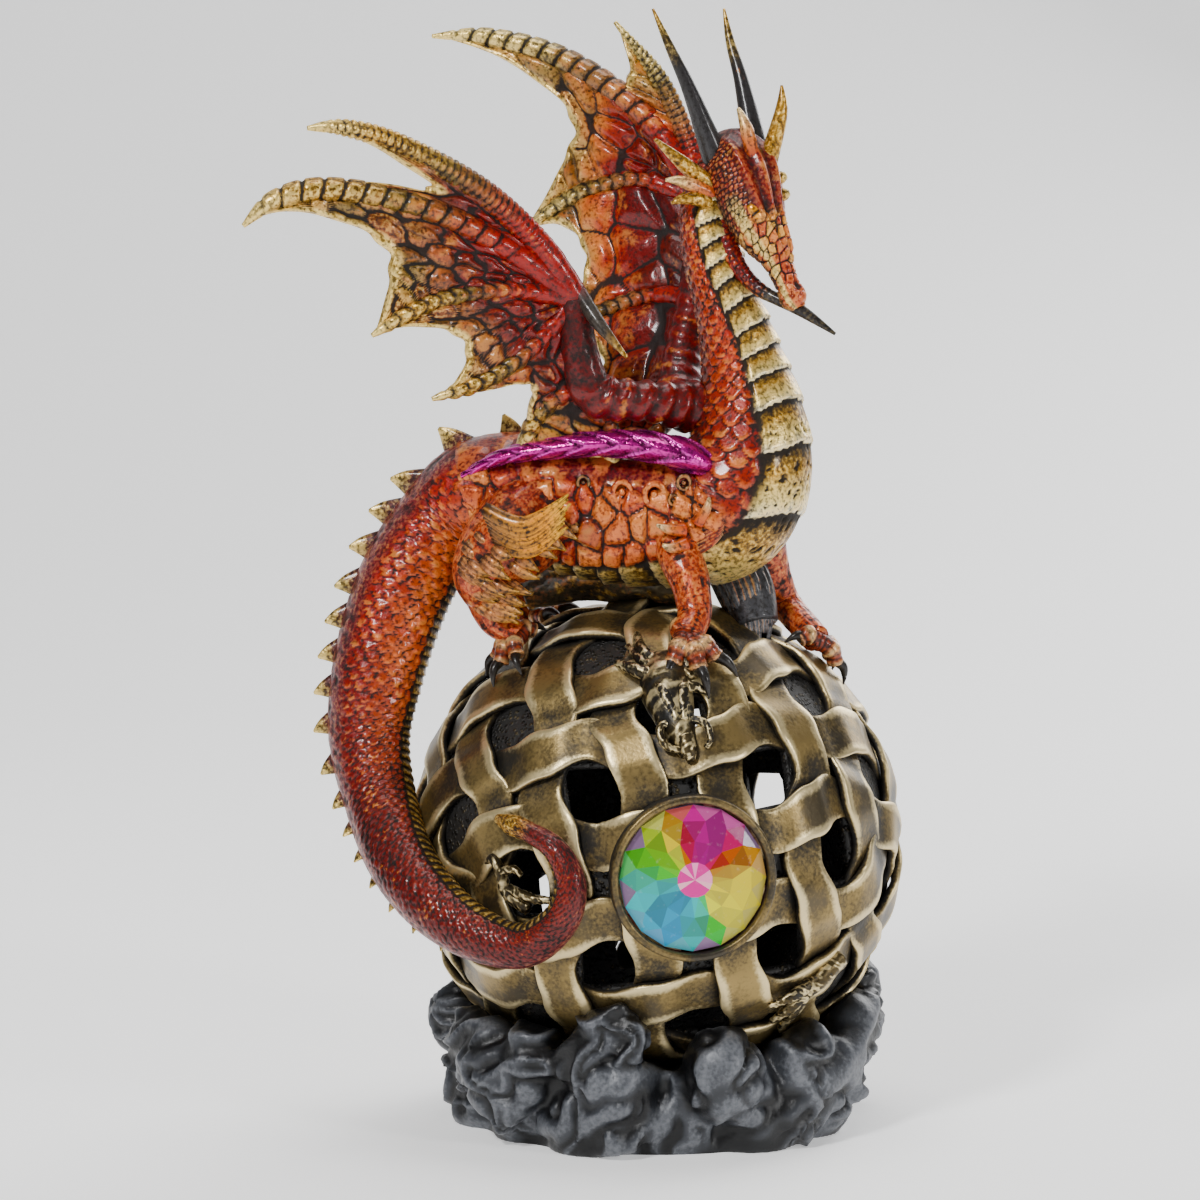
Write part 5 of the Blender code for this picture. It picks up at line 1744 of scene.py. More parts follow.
    def elbow_spikes(self) -> list[bpy.types.Object]:
        """Bony spikes at the near elbow and heel, and the shaggy locks behind them."""
        bone = horn_cover(((0.0, ORANGE), (0.5, PEACH), (1.0, BONE)), 0.7)
        rows = (
            ((4.6, -20.0, 13.4, 1.3), (1.8, -21.0, 13.6, 0.9), (-0.4, -21.4, 14.4, 0.25)),
            ((4.8, -20.4, 11.0, 1.3), (2.2, -21.8, 10.4, 0.9), (0.6, -22.0, 11.0, 0.25)),
            ((6.8, -19.6, 14.6, 1.3), (8.4, -20.8, 17.2, 0.8), (8.8, -20.6, 19.2, 0.25)),
            ((-30.0, -13.2, 5.0, 1.2), (-32.6, -14.0, 4.2, 0.8), (-34.4, -14.0, 4.8, 0.2)),
        )
        up = np.array([0.0, -1.0, 0.0])
        made = [Loft("spike", Rail(on_figure(t)), bone, 16, 12, up=up).build() for t in rows]
        shag = ((0.0, UMBER), (0.5, ORANGE), (1.0, BONE))
        for k in range(8):
            f = k / 7
            made.append(Strand((6.0 + 1.5 * f, -18.8, 9.0 + 6 * f), (9.0 + 2 * f, -19.6, 11.0 + 5 * f),
                               (12.5 + 2.5 * f, -18.2, 14.0 + 5 * f), 0.7, shag, 0.3).build())
        return made

    def saddle_cover(self, along: Array, angle: Array, radius: Array) -> Coat:
        """Dark glossy hummocks with a gilded fleck here and there; their black is partly paint and partly
        painted shade under the belly.
        """
        along, angle = np.broadcast_arrays(along, angle)
        lumps = noise(along / 6.5, angle * 1.4, 33, 3)
        ridge = 1 - np.abs(2 * lumps - 1)
        fleck = step(noise(along / 1.6, angle * 6, 34, 3), 0.60, 0.75)
        # Black partly as paint, partly as painted shade under the belly.
        paint = blend(blend(BLACK, (0.06, 0.045, 0.025), ridge), GOLD, fleck * 0.6)
        return Coat(1.5 * ridge - 0.6, paint, clamp(0.35 + 0.5 * ridge), 0.5 * fleck)

    def build(self, shop: Workshop) -> None:
        """Makes and dresses the trimmings.

        Args:
            shop: gives the finish.
        """
        viewer = np.array([0.0, -1.0, 0.0])
        band = (*FLANK_PLATES, (8.6, -15.4, 24.6, 2.4), (10.6, -13.4, 23.6, 0.8))
        plates = Loft(
            "flank_plates", Rail(on_figure(band)), self.plate_cover, 160, 48, up=viewer, wide=0.82
        ).build()
        lacquer = PaintedResin(
            name="magenta_lacquer", metallic=0.75, roughness=0.14, rub_and_highlight=0.0, wash_and_shade_top=0.30
        )
        shop.paint(plates, lacquer)
        shop.paint(Bench.join("flank_bosses", self.bosses()))
        locks = self.thigh_tuft() + self.elbow_spikes()
        shop.paint(Bench.join("feathers", locks))
        grey = horn_cover(((0.0, BLACK), (1.0, (0.05, 0.05, 0.055))), 2.0)
        core = Loft("tuft_core", Rail(on_figure(TUFT)), grey, 40, 36, up=viewer).build()
        shop.paint(Bench.join("chest_tuft", [core, *self.chest_tuft()]))
        saddle = Loft("saddle", Rail(on_figure(SADDLE)), self.saddle_cover, 100, 68, up=viewer).build()
        shop.paint(saddle)
        thumb = horn_cover(
            ((0.0, (0.10, 0.02, 0.02)), (0.2, (0.035, 0.028, 0.022)), (0.6, (0.05, 0.04, 0.03)), (1.0, GOLD)),
            0.7
        )
        claw = Loft("thumb", Rail(on_figure(NEAR_THUMB)), thumb, 40, 18, up=viewer).build()
        shop.paint(claw)


# The orb and what it carries


def gem_frame() -> Matrix:
    """Matrix whose Z axis runs from the orb's centre out through the gem."""
    out = Vector((math.sin(GEM_AZIMUTH), -math.cos(GEM_AZIMUTH), 0))
    side = Vector((math.cos(GEM_AZIMUTH), math.sin(GEM_AZIMUTH), 0))
    turn = Matrix((side, out.cross(side), out)).transposed()
    return Matrix.Translation(Vector(ORB_CENTRE)) @ turn.to_4x4()


@dataclass
class Weave:
    """The orb's straps: closed bands that pass over and under each other round a ball."""

    cells_a_side: int = 3
    over: float = 0.4
    under: float = 1.75
    thickness: float = 1.35
    sway: float = 2.0
    spread: float = 1.16
    steps: int = 10
    well: tuple[float, float] = (12.8, 13.8)
    well_depth: float = 2.5
    ground_depth: float = 2.35
    ground_well: float = 13.6
    ground_well_depth: float = 2.6
    ground_wall: float = 1.5

    def layout(self) -> bmesh.types.BMesh:
        """The weave on a ball of radius 1: edges are the middles of straps, faces the gaps."""
        bm = bmesh.new()
        bmesh.ops.create_cube(bm, size=2)
        bmesh.ops.subdivide_edges(bm, edges=bm.edges, cuts=self.cells_a_side - 1, use_grid_fill=True)
        for vert in bm.verts:
            vert.co = Vector([math.tan(k * math.pi / 4) for k in vert.co]).normalized()
        cut = bmesh.ops.bevel(
            bm, geom=bm.verts[:], offset=50, offset_type="PERCENT", affect="VERTICES", segments=1, profile=0.5
        )
        for face in cut["faces"]:
            face.material_index = 1
        bmesh.ops.remove_doubles(bm, verts=bm.verts, dist=0.001)
        for vert in bm.verts:
            vert.co.normalize()
        bmesh.ops.rotate(bm, cent=(0, 0, 0), matrix=Matrix.Rotation(WEAVE_TURN, 3, "Z"), verts=bm.verts)
        bmesh.ops.recalc_face_normals(bm, faces=bm.faces)
        bm.verts.ensure_lookup_table()
        bm.faces.ensure_lookup_table()
        bm.verts.index_update()
        return bm

    @staticmethod
    def is_open(face: bmesh.types.BMFace) -> bool:
        """Whether a gap is pierced."""
        middle = face.calc_center_median()
        tilt = math.acos(min(1.0, abs(middle.z) / middle.length))
        return face.material_index == 0 and BEZEL_CONE < tilt < OPEN_CONE

    def across(self, edge: bmesh.types.BMEdge, vert: bmesh.types.BMVert) -> bmesh.types.BMEdge:
        """The edge on the other side of a crossing, which shares no face with this one."""
        return next(
            e for e in vert.link_edges if e is not edge and not set(e.link_faces) & set(edge.link_faces)
        )

    def loops(self, bm: bmesh.types.BMesh) -> list[tuple[list[Vector], list[float], list[Vector]]]:
        """Walks each strap round the ball.

        Args:
            bm: the layout.

        Returns:
            For each strap, its points at crossings and between them, whether it is over or under
            at each, as 1 or 0, and the middle of the closed gap beside each stretch.
        """
        seen: set[bmesh.types.BMEdge] = set()
        found = []
        for start in bm.edges:
            if start in seen:
                continue
            points, levels, knots = [], [], []
            edge, vert = start, start.verts[1]
            while edge not in seen:
                seen.add(edge)
                other = edge.other_vert(vert)
                side = next(k for k in edge.link_loops if k.vert is other)
                over = 1.0 if side.face.material_index == 0 else 0.0
                middle = ((other.co + vert.co) / 2).normalized()
                points += [middle, vert.co.copy()]
                levels += [0.5, over]
                knots.append(next(f for f in edge.link_faces if f.material_index == 1).calc_center_median())
                edge = self.across(edge, vert)
                vert = edge.other_vert(vert)
            found.append((points, levels, knots))
        return found

    def band(self, points: list[Vector], levels: list[float], knots: list[Vector]) -> bpy.types.Object:
        """One strap as a closed band with a hollowed top and pale edges, partly wear and partly painted
        highlight, and painted shade where it dives under.

        Args:
            points: its middle line on a ball of radius 1.
            levels: whether it is over or under at each point.
            knots: the middle of the closed gap beside each stretch, which the strap bows towards.

        Returns:
            The piece.
        """
        p = np.array([list(v) for v in points])
        n = len(p)
        t = np.arange(n * self.steps) / self.steps
        i = t.astype(int)
        u = (t - i)[:, None]
        near = [p[(i + k) % n] for k in (-1, 0, 1, 2)]
        line = unit(sum(a * w for a, w in zip(near, station_weights(u))))
        level = np.array(levels)
        share = u[:, 0] ** 2 * (3 - 2 * u[:, 0])
        high = level[i % n] * (1 - share) + level[(i + 1) % n] * share
        high = step(high, 0.05, 0.95)
        heading = unit(np.roll(line, -1, axis=0) - np.roll(line, 1, axis=0))
        side = np.cross(line, heading)
        half = STRAP_WIDTH / 2 / MM * self.spread
        section = np.array([
            (-1.0, -0.10, 0.95), (-0.96, 0.05, 1.0), (-0.80, 0.06, 0.85), (-0.52, -0.05, 0.3),
            (-0.2, -0.11, 0.0), (0.2, -0.11, 0.0),
            (0.52, -0.05, 0.3), (0.80, 0.06, 0.85), (0.96, 0.05, 1.0), (1.0, -0.10, 0.95),
            (1.0, -0.8, 0.2), (0.97, -self.thickness, 0.0), (0.0, -self.thickness, 0.0),
            (-0.97, -self.thickness, 0.0), (-1.0, -0.8, 0.2),
            (-1.0, -0.10, 0.95),
        ])
        rise = self.over * high - (1 - high) * self.under
        crossing = np.abs(np.mod(t / 2 - 0.5, 1.0) - 0.5) * 2
        between = np.sin(crossing * math.pi / 2) ** 2
        bow = np.mod(np.floor(t / 2 + 0.5), n // 2).astype(int)
        towards = np.array([list(k) for k in knots])[bow] - p[::2][bow]
        lean = np.sign(np.sum(towards * side, axis=1)) * (
            0.7 + 0.6 * hashed(bow, bow * 0 + round(40 * p[0, 0]), 6)
        )
        sway = self.sway * lean * (1 - between)
        swell = 1 + 0.17 * (high - 0.5) + 0.05 * np.sin(t * 2.3)
        wave = 0.10 * np.sin(t * 0.9 + 3 * p[0, 0]) + 0.06 * np.sin(t * 2.3)
        radius = ORB_RADIUS / MM + rise[:, None] + section[None, :, 1] + 0.15 * wave[:, None]
        offset = section[None, :, 0] * half * swell[:, None] + sway[:, None]
        flat = line[:, None, :] * radius[..., None] + side[:, None, :] * offset[..., None]
        length = np.linalg.norm(flat, axis=-1, keepdims=True)
        flat = flat / length * radius[..., None]
        shape = radius.shape
        edge = np.broadcast_to(section[None, :, 2], shape)
        top = np.broadcast_to((section[None, :, 1] > -0.5), shape)
        # Painted shade: the marks drop where the strap dives under another and on its sides and underside, so
        # it is painted dark there.
        relief = clamp((0.10 + 0.75 * high[:, None] + 0.18 * edge) * np.where(top, 1.0, 0.3))
        # Pale edges, partly wear and partly painted highlight, brighter where the strap rides over.
        gilt = clamp(edge * (0.25 + 0.75 * high[:, None]) + 0.22 * high[:, None])
        coat = Coat(
            radius, np.ones((shape[0] + 1, shape[1], 3)) * 0.3,
            np.concatenate([relief, relief[:1]]), np.concatenate([gilt, gilt[:1]]),
        )
        return self.placed(np.concatenate([flat, flat[:1]], axis=0), coat)

    def placed(self, flat: Array, coat: Coat) -> bpy.types.Object:
        """Sinks what lies under the gem, turns the band to the gem's axis and makes its mesh.

        Args:
            flat: points in millimetres about the orb's centre, with the gem on +Z.
            coat: its coat.

        Returns:
            The piece.
        """
        reach = np.hypot(flat[..., 0], flat[..., 1])
        well = (1 - step(reach, *self.well)) * (flat[..., 2] > 0)
        limit = ORB_RADIUS / MM - self.well_depth
        sunk = np.minimum(flat[..., 2], limit)
        flat = flat.copy()
        flat[..., 2] = flat[..., 2] * (1 - well) + sunk * well
        turn = np.array(gem_frame())
        world = flat * MM @ turn[:3, :3].T + turn[:3, 3]
        return Bench.net("strap", world, coat)

    def ground(self) -> bpy.types.Object:
        """The grained wall behind the straps, open where the weave is pierced.

        Returns:
            The piece.
        """
        bm = self.layout()
        holes = [f for f in bm.faces if self.is_open(f)]
        bmesh.ops.inset_individual(bm, faces=holes, thickness=STRAP_WIDTH * 0.46 / ORB_RADIUS)
        bmesh.ops.delete(bm, geom=holes, context="FACES_ONLY")
        bmesh.ops.triangulate(bm, faces=bm.faces[:])
        for _ in range(3):
            bmesh.ops.subdivide_edges(bm, edges=bm.edges[:], cuts=1, use_grid_fill=True)
        outer = ORB_RADIUS - self.ground_depth * MM
        for vert in bm.verts:
            vert.co = vert.co.normalized() * outer
            if vert.co.z > 0 and math.hypot(vert.co.x, vert.co.y) < self.ground_well * MM:
                vert.co.z = min(vert.co.z, ORB_RADIUS - self.ground_well_depth * MM)
        mesh = bpy.data.meshes.new("ground")
        bm.to_mesh(mesh)
        bm.free()
        piece = Bench.put("orb_ground", mesh)
        mesh.transform(gem_frame())
        Bench.pick(piece)
        shell = piece.modifiers.new("wall", "SOLIDIFY")
        shell.thickness = self.ground_wall * MM
        shell.offset = -1
        bpy.ops.object.modifier_apply(modifier="wall")
        return Bench.close(piece)

    def build(self, shop: Workshop) -> None:
        """Makes and dresses the straps and the ground."""
        bm = self.layout()
        bands = [self.band(*strap) for strap in self.loops(bm)]
        bm.free()
        shop.dress(Bench.join("orb_straps", bands), AntiqueBronze(), "woven_orb", Finish.BRONZE)
        shop.dress(self.ground(), GrainedGround(), "woven_orb", Finish.BRONZE)


@dataclass
class Jewel:
    """The faceted gem and the bezel round it."""

    sides: int = 16

    def colour(self, angle: float, reach: float, own: float) -> tuple[float, float, float]:
        """A facet's colour from its place.

        Args:
            angle: radians anticlockwise from the right.
            reach: share of the radius.
            own: the facet's own number.

        Returns:
            The colour.
        """
        degrees = (math.degrees(angle) + 9 * (own - 0.5)) % 360
        if reach < 0.30:
            return (0.55, 0.003, 0.22) if own < 0.5 else (0.75, 0.12 + 0.5 * (own - 0.5), 0.42)
        places = (0, 30, 48, 66, 90, 104, 116, 140, 168, 185, 215, 245, 268, 285, 300, 330, 360)
        hues = (
            1.13, 1.04, 0.93, 0.91, 0.93, 0.99, 1.10, 1.26, 1.33, 1.47, 1.55, 1.58, 1.50, 1.42, 1.16, 1.14,
            1.13
        )
        hue = float(np.interp(degrees, places, hues))
        strong = 1.0 - 0.05 * own * own
        bright = 0.40 - 0.22 * own + 0.18 * math.exp(-(((hue - 1.15) / 0.05) ** 2))
        if reach > 0.90:
            hue, strong, bright = (hue, 0.85, 0.20 + 0.2 * own) if own > 0.5 else (
                0.80, 0.45, 0.10 + 0.3 * own
            )
        return colorsys.hsv_to_rgb(hue % 1, strong, bright)

    def gem(self) -> bpy.types.Object:
        """The gem: a flat back, a girdle, and rings of facets up to its table."""
        shoulder = GEM_GIRDLE * 0.7
        rings = ((1.0, 0.0, 0.0), (1.0, shoulder, 0.0), (0.80, shoulder + GEM_CROWN * 0.45, 0.5),
                 (0.52, shoulder + GEM_CROWN * 0.80, 0.0), (0.24, shoulder + GEM_CROWN, 0.5))
        bm = bmesh.new()
        loops = []
        for share, height, turn in rings:
            loops.append([
                bm.verts.new((
                    GEM_RADIUS * share * math.cos((k + turn) * math.tau / self.sides),
                    GEM_RADIUS * share * math.sin((k + turn) * math.tau / self.sides), height,
                )) for k in range(self.sides)
            ])
        n = self.sides
        bm.faces.new(loops[0][::-1])
        for k in range(n):
            bm.faces.new((loops[0][k], loops[0][(k + 1) % n], loops[1][(k + 1) % n], loops[1][k]))
        for level in (1, 2, 3):
            low, high = loops[level], loops[level + 1]
            ahead = 0 if level % 2 else 1
            for k in range(n):
                if ahead == 0:
                    bm.faces.new((low[k], low[(k + 1) % n], high[k]))
                    bm.faces.new((low[(k + 1) % n], high[(k + 1) % n], high[k]))
                else:
                    bm.faces.new((low[k], high[(k + 1) % n], high[k]))
                    bm.faces.new((low[k], low[(k + 1) % n], high[(k + 1) % n]))
        hub = bm.verts.new((0, 0, shoulder + GEM_CROWN))
        for k in range(n):
            bm.faces.new((loops[4][k], loops[4][(k + 1) % n], hub))
        mesh = bpy.data.meshes.new("gem_stone")
        bm.to_mesh(mesh)
        bm.free()
        rng = np.random.default_rng(12)
        paint = mesh.attributes.new("paint", "FLOAT_COLOR", "CORNER")
        for face in mesh.polygons:
            centre = face.center
            colour = self.colour(
                math.atan2(centre.y, centre.x), math.hypot(centre.x, centre.y) / GEM_RADIUS, rng.random()
            )
            for corner in face.loop_indices:
                paint.data[corner].color = (*colour, 1.0)
        mesh.transform(gem_frame() @ Matrix.Translation((0, 0, ORB_RADIUS - GEM_GIRDLE)))
        piece = Bench.put("gem_stone", mesh)
        return Bench.close(piece, smooth=False)

    def bezel(self) -> bpy.types.Object:
        """The thin ring that holds the gem."""
        inner, outer = GEM_RADIUS / MM + 0.3, GEM_RADIUS / MM + 1.6
        base, rim = ORB_RADIUS / MM - 3.4, ORB_RADIUS / MM + 0.8
        section = np.array([
            (inner, base), (outer, base), (outer + 0.15, rim - 1.6), (outer, rim - 0.35), (outer - 0.35, rim),
            (inner + 0.35, rim), (inner, rim - 0.3), (inner, base),
        ])
        angle = np.linspace(0, 2 * math.pi, 145)
        flat = np.stack([
            np.cos(angle)[:, None] * section[None, :, 0], np.sin(angle)[:, None] * section[None, :, 0],
            np.broadcast_to(section[None, :, 1], (len(angle), len(section))),
        ], axis=-1)
        flat[-1] = flat[0]
        turn = np.array(gem_frame())
        world = flat * MM @ turn[:3, :3].T + turn[:3, 3]
        shape = world.shape[:2]
        top = np.broadcast_to((section[None, :, 1] > rim - 0.5), shape).astype(float)
        coat = Coat(top, np.ones((*shape, 3)) * 0.3, 0.12 + 0.45 * top, 0.25 * top)
        return Bench.net("bezel", world, coat)

    def build(self, shop: Workshop) -> None:
        """Makes and dresses the gem and its bezel."""
        shop.dress(self.gem(), FoiledGlass(), "gem", Finish.GLASS)
        shop.dress(self.bezel(), AntiqueBronze(), "woven_orb", Finish.BRONZE)


@dataclass
class OrbCarvings:
    """The little dragon mask above the gem, the small claw low on the right and the tendril on the left."""

    def cover(self, along: Array, angle: Array, radius: Array) -> Coat:
        """Bronze with fine scratched relief."""
        along, angle = np.broadcast_arrays(along, angle)
        fine = noise(along / 0.9, angle * 3, 66, 3)
        ridge = 1 - np.abs(2 * fine - 1)
        return Coat(
            0.26 * ridge, np.ones((*ridge.shape, 3)) * OLIVE, clamp(ridge * 1.05 - 0.08),
            step(ridge, 0.55, 1.0)
        )

    def tube(self, table: Stations) -> bpy.types.Object:
        """One carved form over the orb, from stations of azimuth, elevation, lift and radius."""
        rows = np.asarray(table, dtype=float)
        points = on_orb(rows[:, 0], rows[:, 1], rows[:, 2] * MM)
        rail = Rail(np.column_stack([points, rows[:, 3] * MM]))
        return Loft("carving", rail, self.cover, 26, 16, up=np.array([0.0, -1.0, 0.3])).build()

    def mask(self) -> list[bpy.types.Object]:
        """The little head: brow, snout, swept crest, horns and whiskers."""
        tables = (
            (
                (2.7, 53.3, -1.7, 4.0), (2.2, 46.7, -1.5, 4.6), (4.1, 38.2, -1.1, 3.4),
                (6.1, 31.6, -0.7, 2.2), (7.3, 27.6, -0.5, 1.2)
            ),
            ((0.5, 50.5, 0.6, 1.3), (-6.5, 55.0, 0.8, 1.0), (-10.5, 62.0, 0.5, 0.4)),
            ((0.5, 46.5, 0.9, 1.2), (-8.0, 49.0, 0.9, 1.0), (-15.5, 51.5, 0.5, 0.4)),
            ((0.5, 48.5, 0.8, 1.0), (-6.0, 51.5, 0.9, 0.8), (-13.0, 57.5, 0.4, 0.3)),
            ((5.0, 46.5, 0.8, 1.2), (11.5, 48.5, 0.8, 1.0), (16.0, 48.0, 0.4, 0.4)),
            ((5.0, 44.0, 0.8, 1.0), (10.5, 44.0, 0.9, 0.8), (14.5, 43.0, 0.4, 0.3)),
            ((-1.0, 45.0, 1.2, 0.9), (1.5, 41.0, 1.9, 0.9), (4.6, 35.0, 1.5, 0.6)),
            ((7.0, 45.5, 1.2, 0.9), (6.4, 40.5, 1.9, 0.9), (6.4, 35.0, 1.5, 0.6)),
            ((4.0, 36.0, 0.4, 0.6), (0.0, 33.5, 0.8, 0.5), (1.5, 29.5, 0.6, 0.5), (5.5, 28.5, 0.4, 0.4)),
            ((8.5, 36.0, 0.4, 0.6), (12.0, 34.5, 0.9, 0.5), (13.0, 31.0, 0.6, 0.4), (11.5, 29.0, 0.3, 0.3)),
            ((6.4, 31.6, 0.6, 1.3), (7.0, 28.6, 0.7, 1.2), (7.5, 26.2, 0.3, 0.6)),
        )
        return [self.tube(t) for t in tables]

    def claw(self) -> list[bpy.types.Object]:
        """A small three-toed claw reaching down from the right."""
        tables = (
            ((50.0, -22.0, 0.2, 1.5), (44.0, -26.0, 0.9, 1.4), (40.0, -29.5, 0.9, 1.2)),
            ((41.0, -28.5, 0.8, 1.0), (37.0, -33.5, 1.1, 0.8), (33.5, -38.0, 0.4, 0.3)),
            ((41.0, -28.5, 0.8, 1.0), (39.0, -35.0, 1.1, 0.8), (38.5, -40.5, 0.4, 0.3)),
            ((41.0, -27.5, 0.8, 1.0), (35.5, -30.0, 1.1, 0.8), (30.5, -33.0, 0.4, 0.3)),
        )
        return [self.tube(t) for t in tables]

    def tendril(self) -> list[bpy.types.Object]:
        """A gilded tendril in the left piercing, under the tail's curl."""
        tables = (
            (
                (-43.0, 0.5, -0.6, 0.5), (-40.0, 2.5, 0.4, 0.7), (-37.5, -0.5, 0.6, 0.8),
                (-36.0, -5.0, 0.2, 1.0), (-31.0, -8.5, -0.4, 0.9)
            ),
            ((-37.5, -0.5, 0.6, 0.7), (-34.0, 0.8, 0.8, 0.5), (-32.0, -0.6, 0.5, 0.3)),
            ((-36.0, -4.0, 0.2, 0.8), (-29.5, -5.4, 0.6, 0.7), (-24.5, -5.6, 0.2, 0.4)),
        )
        return [self.tube(t) for t in tables]

    def build(self, shop: Workshop) -> None:
        """Makes and dresses the carvings."""
        look = AntiqueBronze(
            name="carved_bronze", low=(0.007, 0.006, 0.005), high=(0.10, 0.070, 0.026), bump_depth=0.0002
        )
        shop.dress(
            Bench.join("orb_carvings", self.mask() + self.claw() + self.tendril()), look, "woven_orb",
            Finish.BRONZE
        )


@dataclass
class Smoke:
    """The plinth: curls of smoke fused round the bottom of the orb."""

    radius: float = 42.0
    core_height: float = 15.0
    curls: int = 13
    voxel: float = 0.79

    def spot(self, azimuth: float, height: float, reach: float) -> Vector:
        """A point of the plinth from its azimuth, height and distance from the axis."""
        a = math.radians(azimuth)
        return Vector((math.sin(a) * reach, -math.cos(a) * reach, height)) * MM

    def lumps(self) -> list[bpy.types.Object]:
        """The core and the rounded lumps in two rings."""
        made = []
        Bench.clear()
        depth = self.core_height + 3
        bpy.ops.mesh.primitive_cylinder_add(vertices=48, radius=self.radius * 0.8 * MM, depth=depth * MM,
                                            location=(0, 0, (depth / 2 - 3) * MM))
        made.append(bpy.context.object)
        for i in range(self.curls):
            azimuth = i * 360 / self.curls - 50
            swell = math.sin(2.3 * i)
            low = 8.8 + swell
            rise = 11.0 + 7.0 * abs(math.sin(math.radians(azimuth + 12))) - 1.5 * swell
            high = 6.6 - 1.1 * swell
            for place, size, tall in (
                (self.spot(azimuth, 6.0, 28.8 + 1.5 * swell), low, low * 1.1),
                (self.spot(azimuth + 12, rise, 35.2), high, high * 1.15),
            ):
                Bench.clear()
                bpy.ops.mesh.primitive_uv_sphere_add(radius=1.0, segments=24, ring_count=16)
                ball = bpy.context.object
                ball.data.transform(
                    Matrix.Translation(place) @ Matrix.Diagonal((size * MM, size * MM, tall * MM, 1))
                )
                made.append(ball)
        return made

    def wisps(self) -> list[bpy.types.Object]:
        """Rolled wisps of smoke: the large ones, and small scrolls round the side."""
        tables = [[(*self.spot(a, z, r), w * MM) for a, z, r, w in table] for table in PLINTH_WISPS.values()]
        for k in range(9):
            start = -64 + 41 * k
            z = 7.0 + 4.5 * math.sin(1.7 * k)
            turn = 1 if k % 2 else -1
            scroll = []
            for j in range(9):
                a = j / 8 * 1.5 * math.pi
                size = 5.2 * (1 - 0.085 * j)
                place = self.spot(start + turn * size * math.cos(a) * 1.35, z + 4 + size * math.sin(a), 38.6)
                scroll.append((*place, (2.5 - 0.13 * j) * MM))
            tables.append(scroll)
        made = []
        for table in tables:
            rail = Rail(np.array(table))
            cover = horn_cover(((0.0, SLATE), (1.0, SLATE)), 2.0)
            made.append(Loft("wisp", rail, cover, 50, 20, up=np.array([0.0, 0.0, 1.0])).build())
        return made

    @staticmethod
    def soften(piece: bpy.types.Object, times: int) -> None:
        """Rounds a piece's edges off."""
        soft = piece.modifiers.new("soft", "SMOOTH")
        soft.factor = 0.5
        soft.iterations = times
        bpy.ops.object.modifier_apply(modifier="soft")

    def build(self, shop: Workshop) -> None:
        """Fuses, smooths, carves and dresses the plinth.

        Args:
            shop: gives the finish.
        """
        piece = Bench.join("smoke", self.lumps() + self.wisps())
        Bench.pick(piece)
        bpy.ops.object.transform_apply(location=True, rotation=True, scale=True)
        fuse = piece.modifiers.new("fuse", "REMESH")
        fuse.mode = "VOXEL"
        fuse.voxel_size = self.voxel * MM
        bpy.ops.object.modifier_apply(modifier="fuse")
        self.soften(piece, 4)
        mesh = piece.data
        co = Bench.points(mesh)
        normal = np.zeros(co.size)
        mesh.vertex_normals.foreach_get("vector", normal)
        normal = normal.reshape(-1, 3)
        around = np.degrees(np.arctan2(co[:, 0], -co[:, 1]))
        x, y = around / 9.0, co[:, 2] / MM / 5.5
        bend = noise(x / 1.3, y / 1.3, 91, 2)
        swirl = noise(x * 0.7 + 2.4 * bend, y * 0.8 + 2.0 * bend, 92, 2)
        fold = (0.5 + 0.5 * np.sin(19 * swirl)) ** 0.8
        fine = noise(x * 3.1 + 2 * bend, y * 3.1, 93, 2)
        side = step(co[:, 2] / MM, 0.4, 3.0)
        co = co + normal * (((fold - 0.55) * 1.7 + 0.35 * (fine - 0.5)) * side * MM)[:, None]
        Bench.move(mesh, co)
        self.soften(piece, 2)
        mesh = piece.data
        co = Bench.points(mesh)
        co[:, 2] = np.maximum(co[:, 2], 0.0)
        away = co - ORB_CENTRE
        far = np.linalg.norm(away, axis=1, keepdims=True)
        least = ORB_RADIUS + GAP
        co = np.where(far < least, ORB_CENTRE + away / far * least, co)
        co[:, 2] = np.where((far[:, 0] < least) & (co[:, 2] < 0), 0.0, co[:, 2])
        Bench.move(mesh, co)
        # Painted shade: darker in the swirl's folds and close round the orb; kept as the relief mark.
        shade = clamp(0.10 + 0.85 * fold) * (0.35 + 0.65 * step(far[:, 0] / MM, 44.8, 48.5))
        for name in ("relief", "gilt", "paint"):
            if name in mesh.attributes:
                mesh.attributes.remove(mesh.attributes[name])
        Bench.mark(mesh, "relief", shade)
        Bench.close(piece)
        piece.name = piece.data.name = "smoke"
        shop.dress(piece, SmokeGrey(), "smoke_plinth", Finish.SMOKE)


# Studio


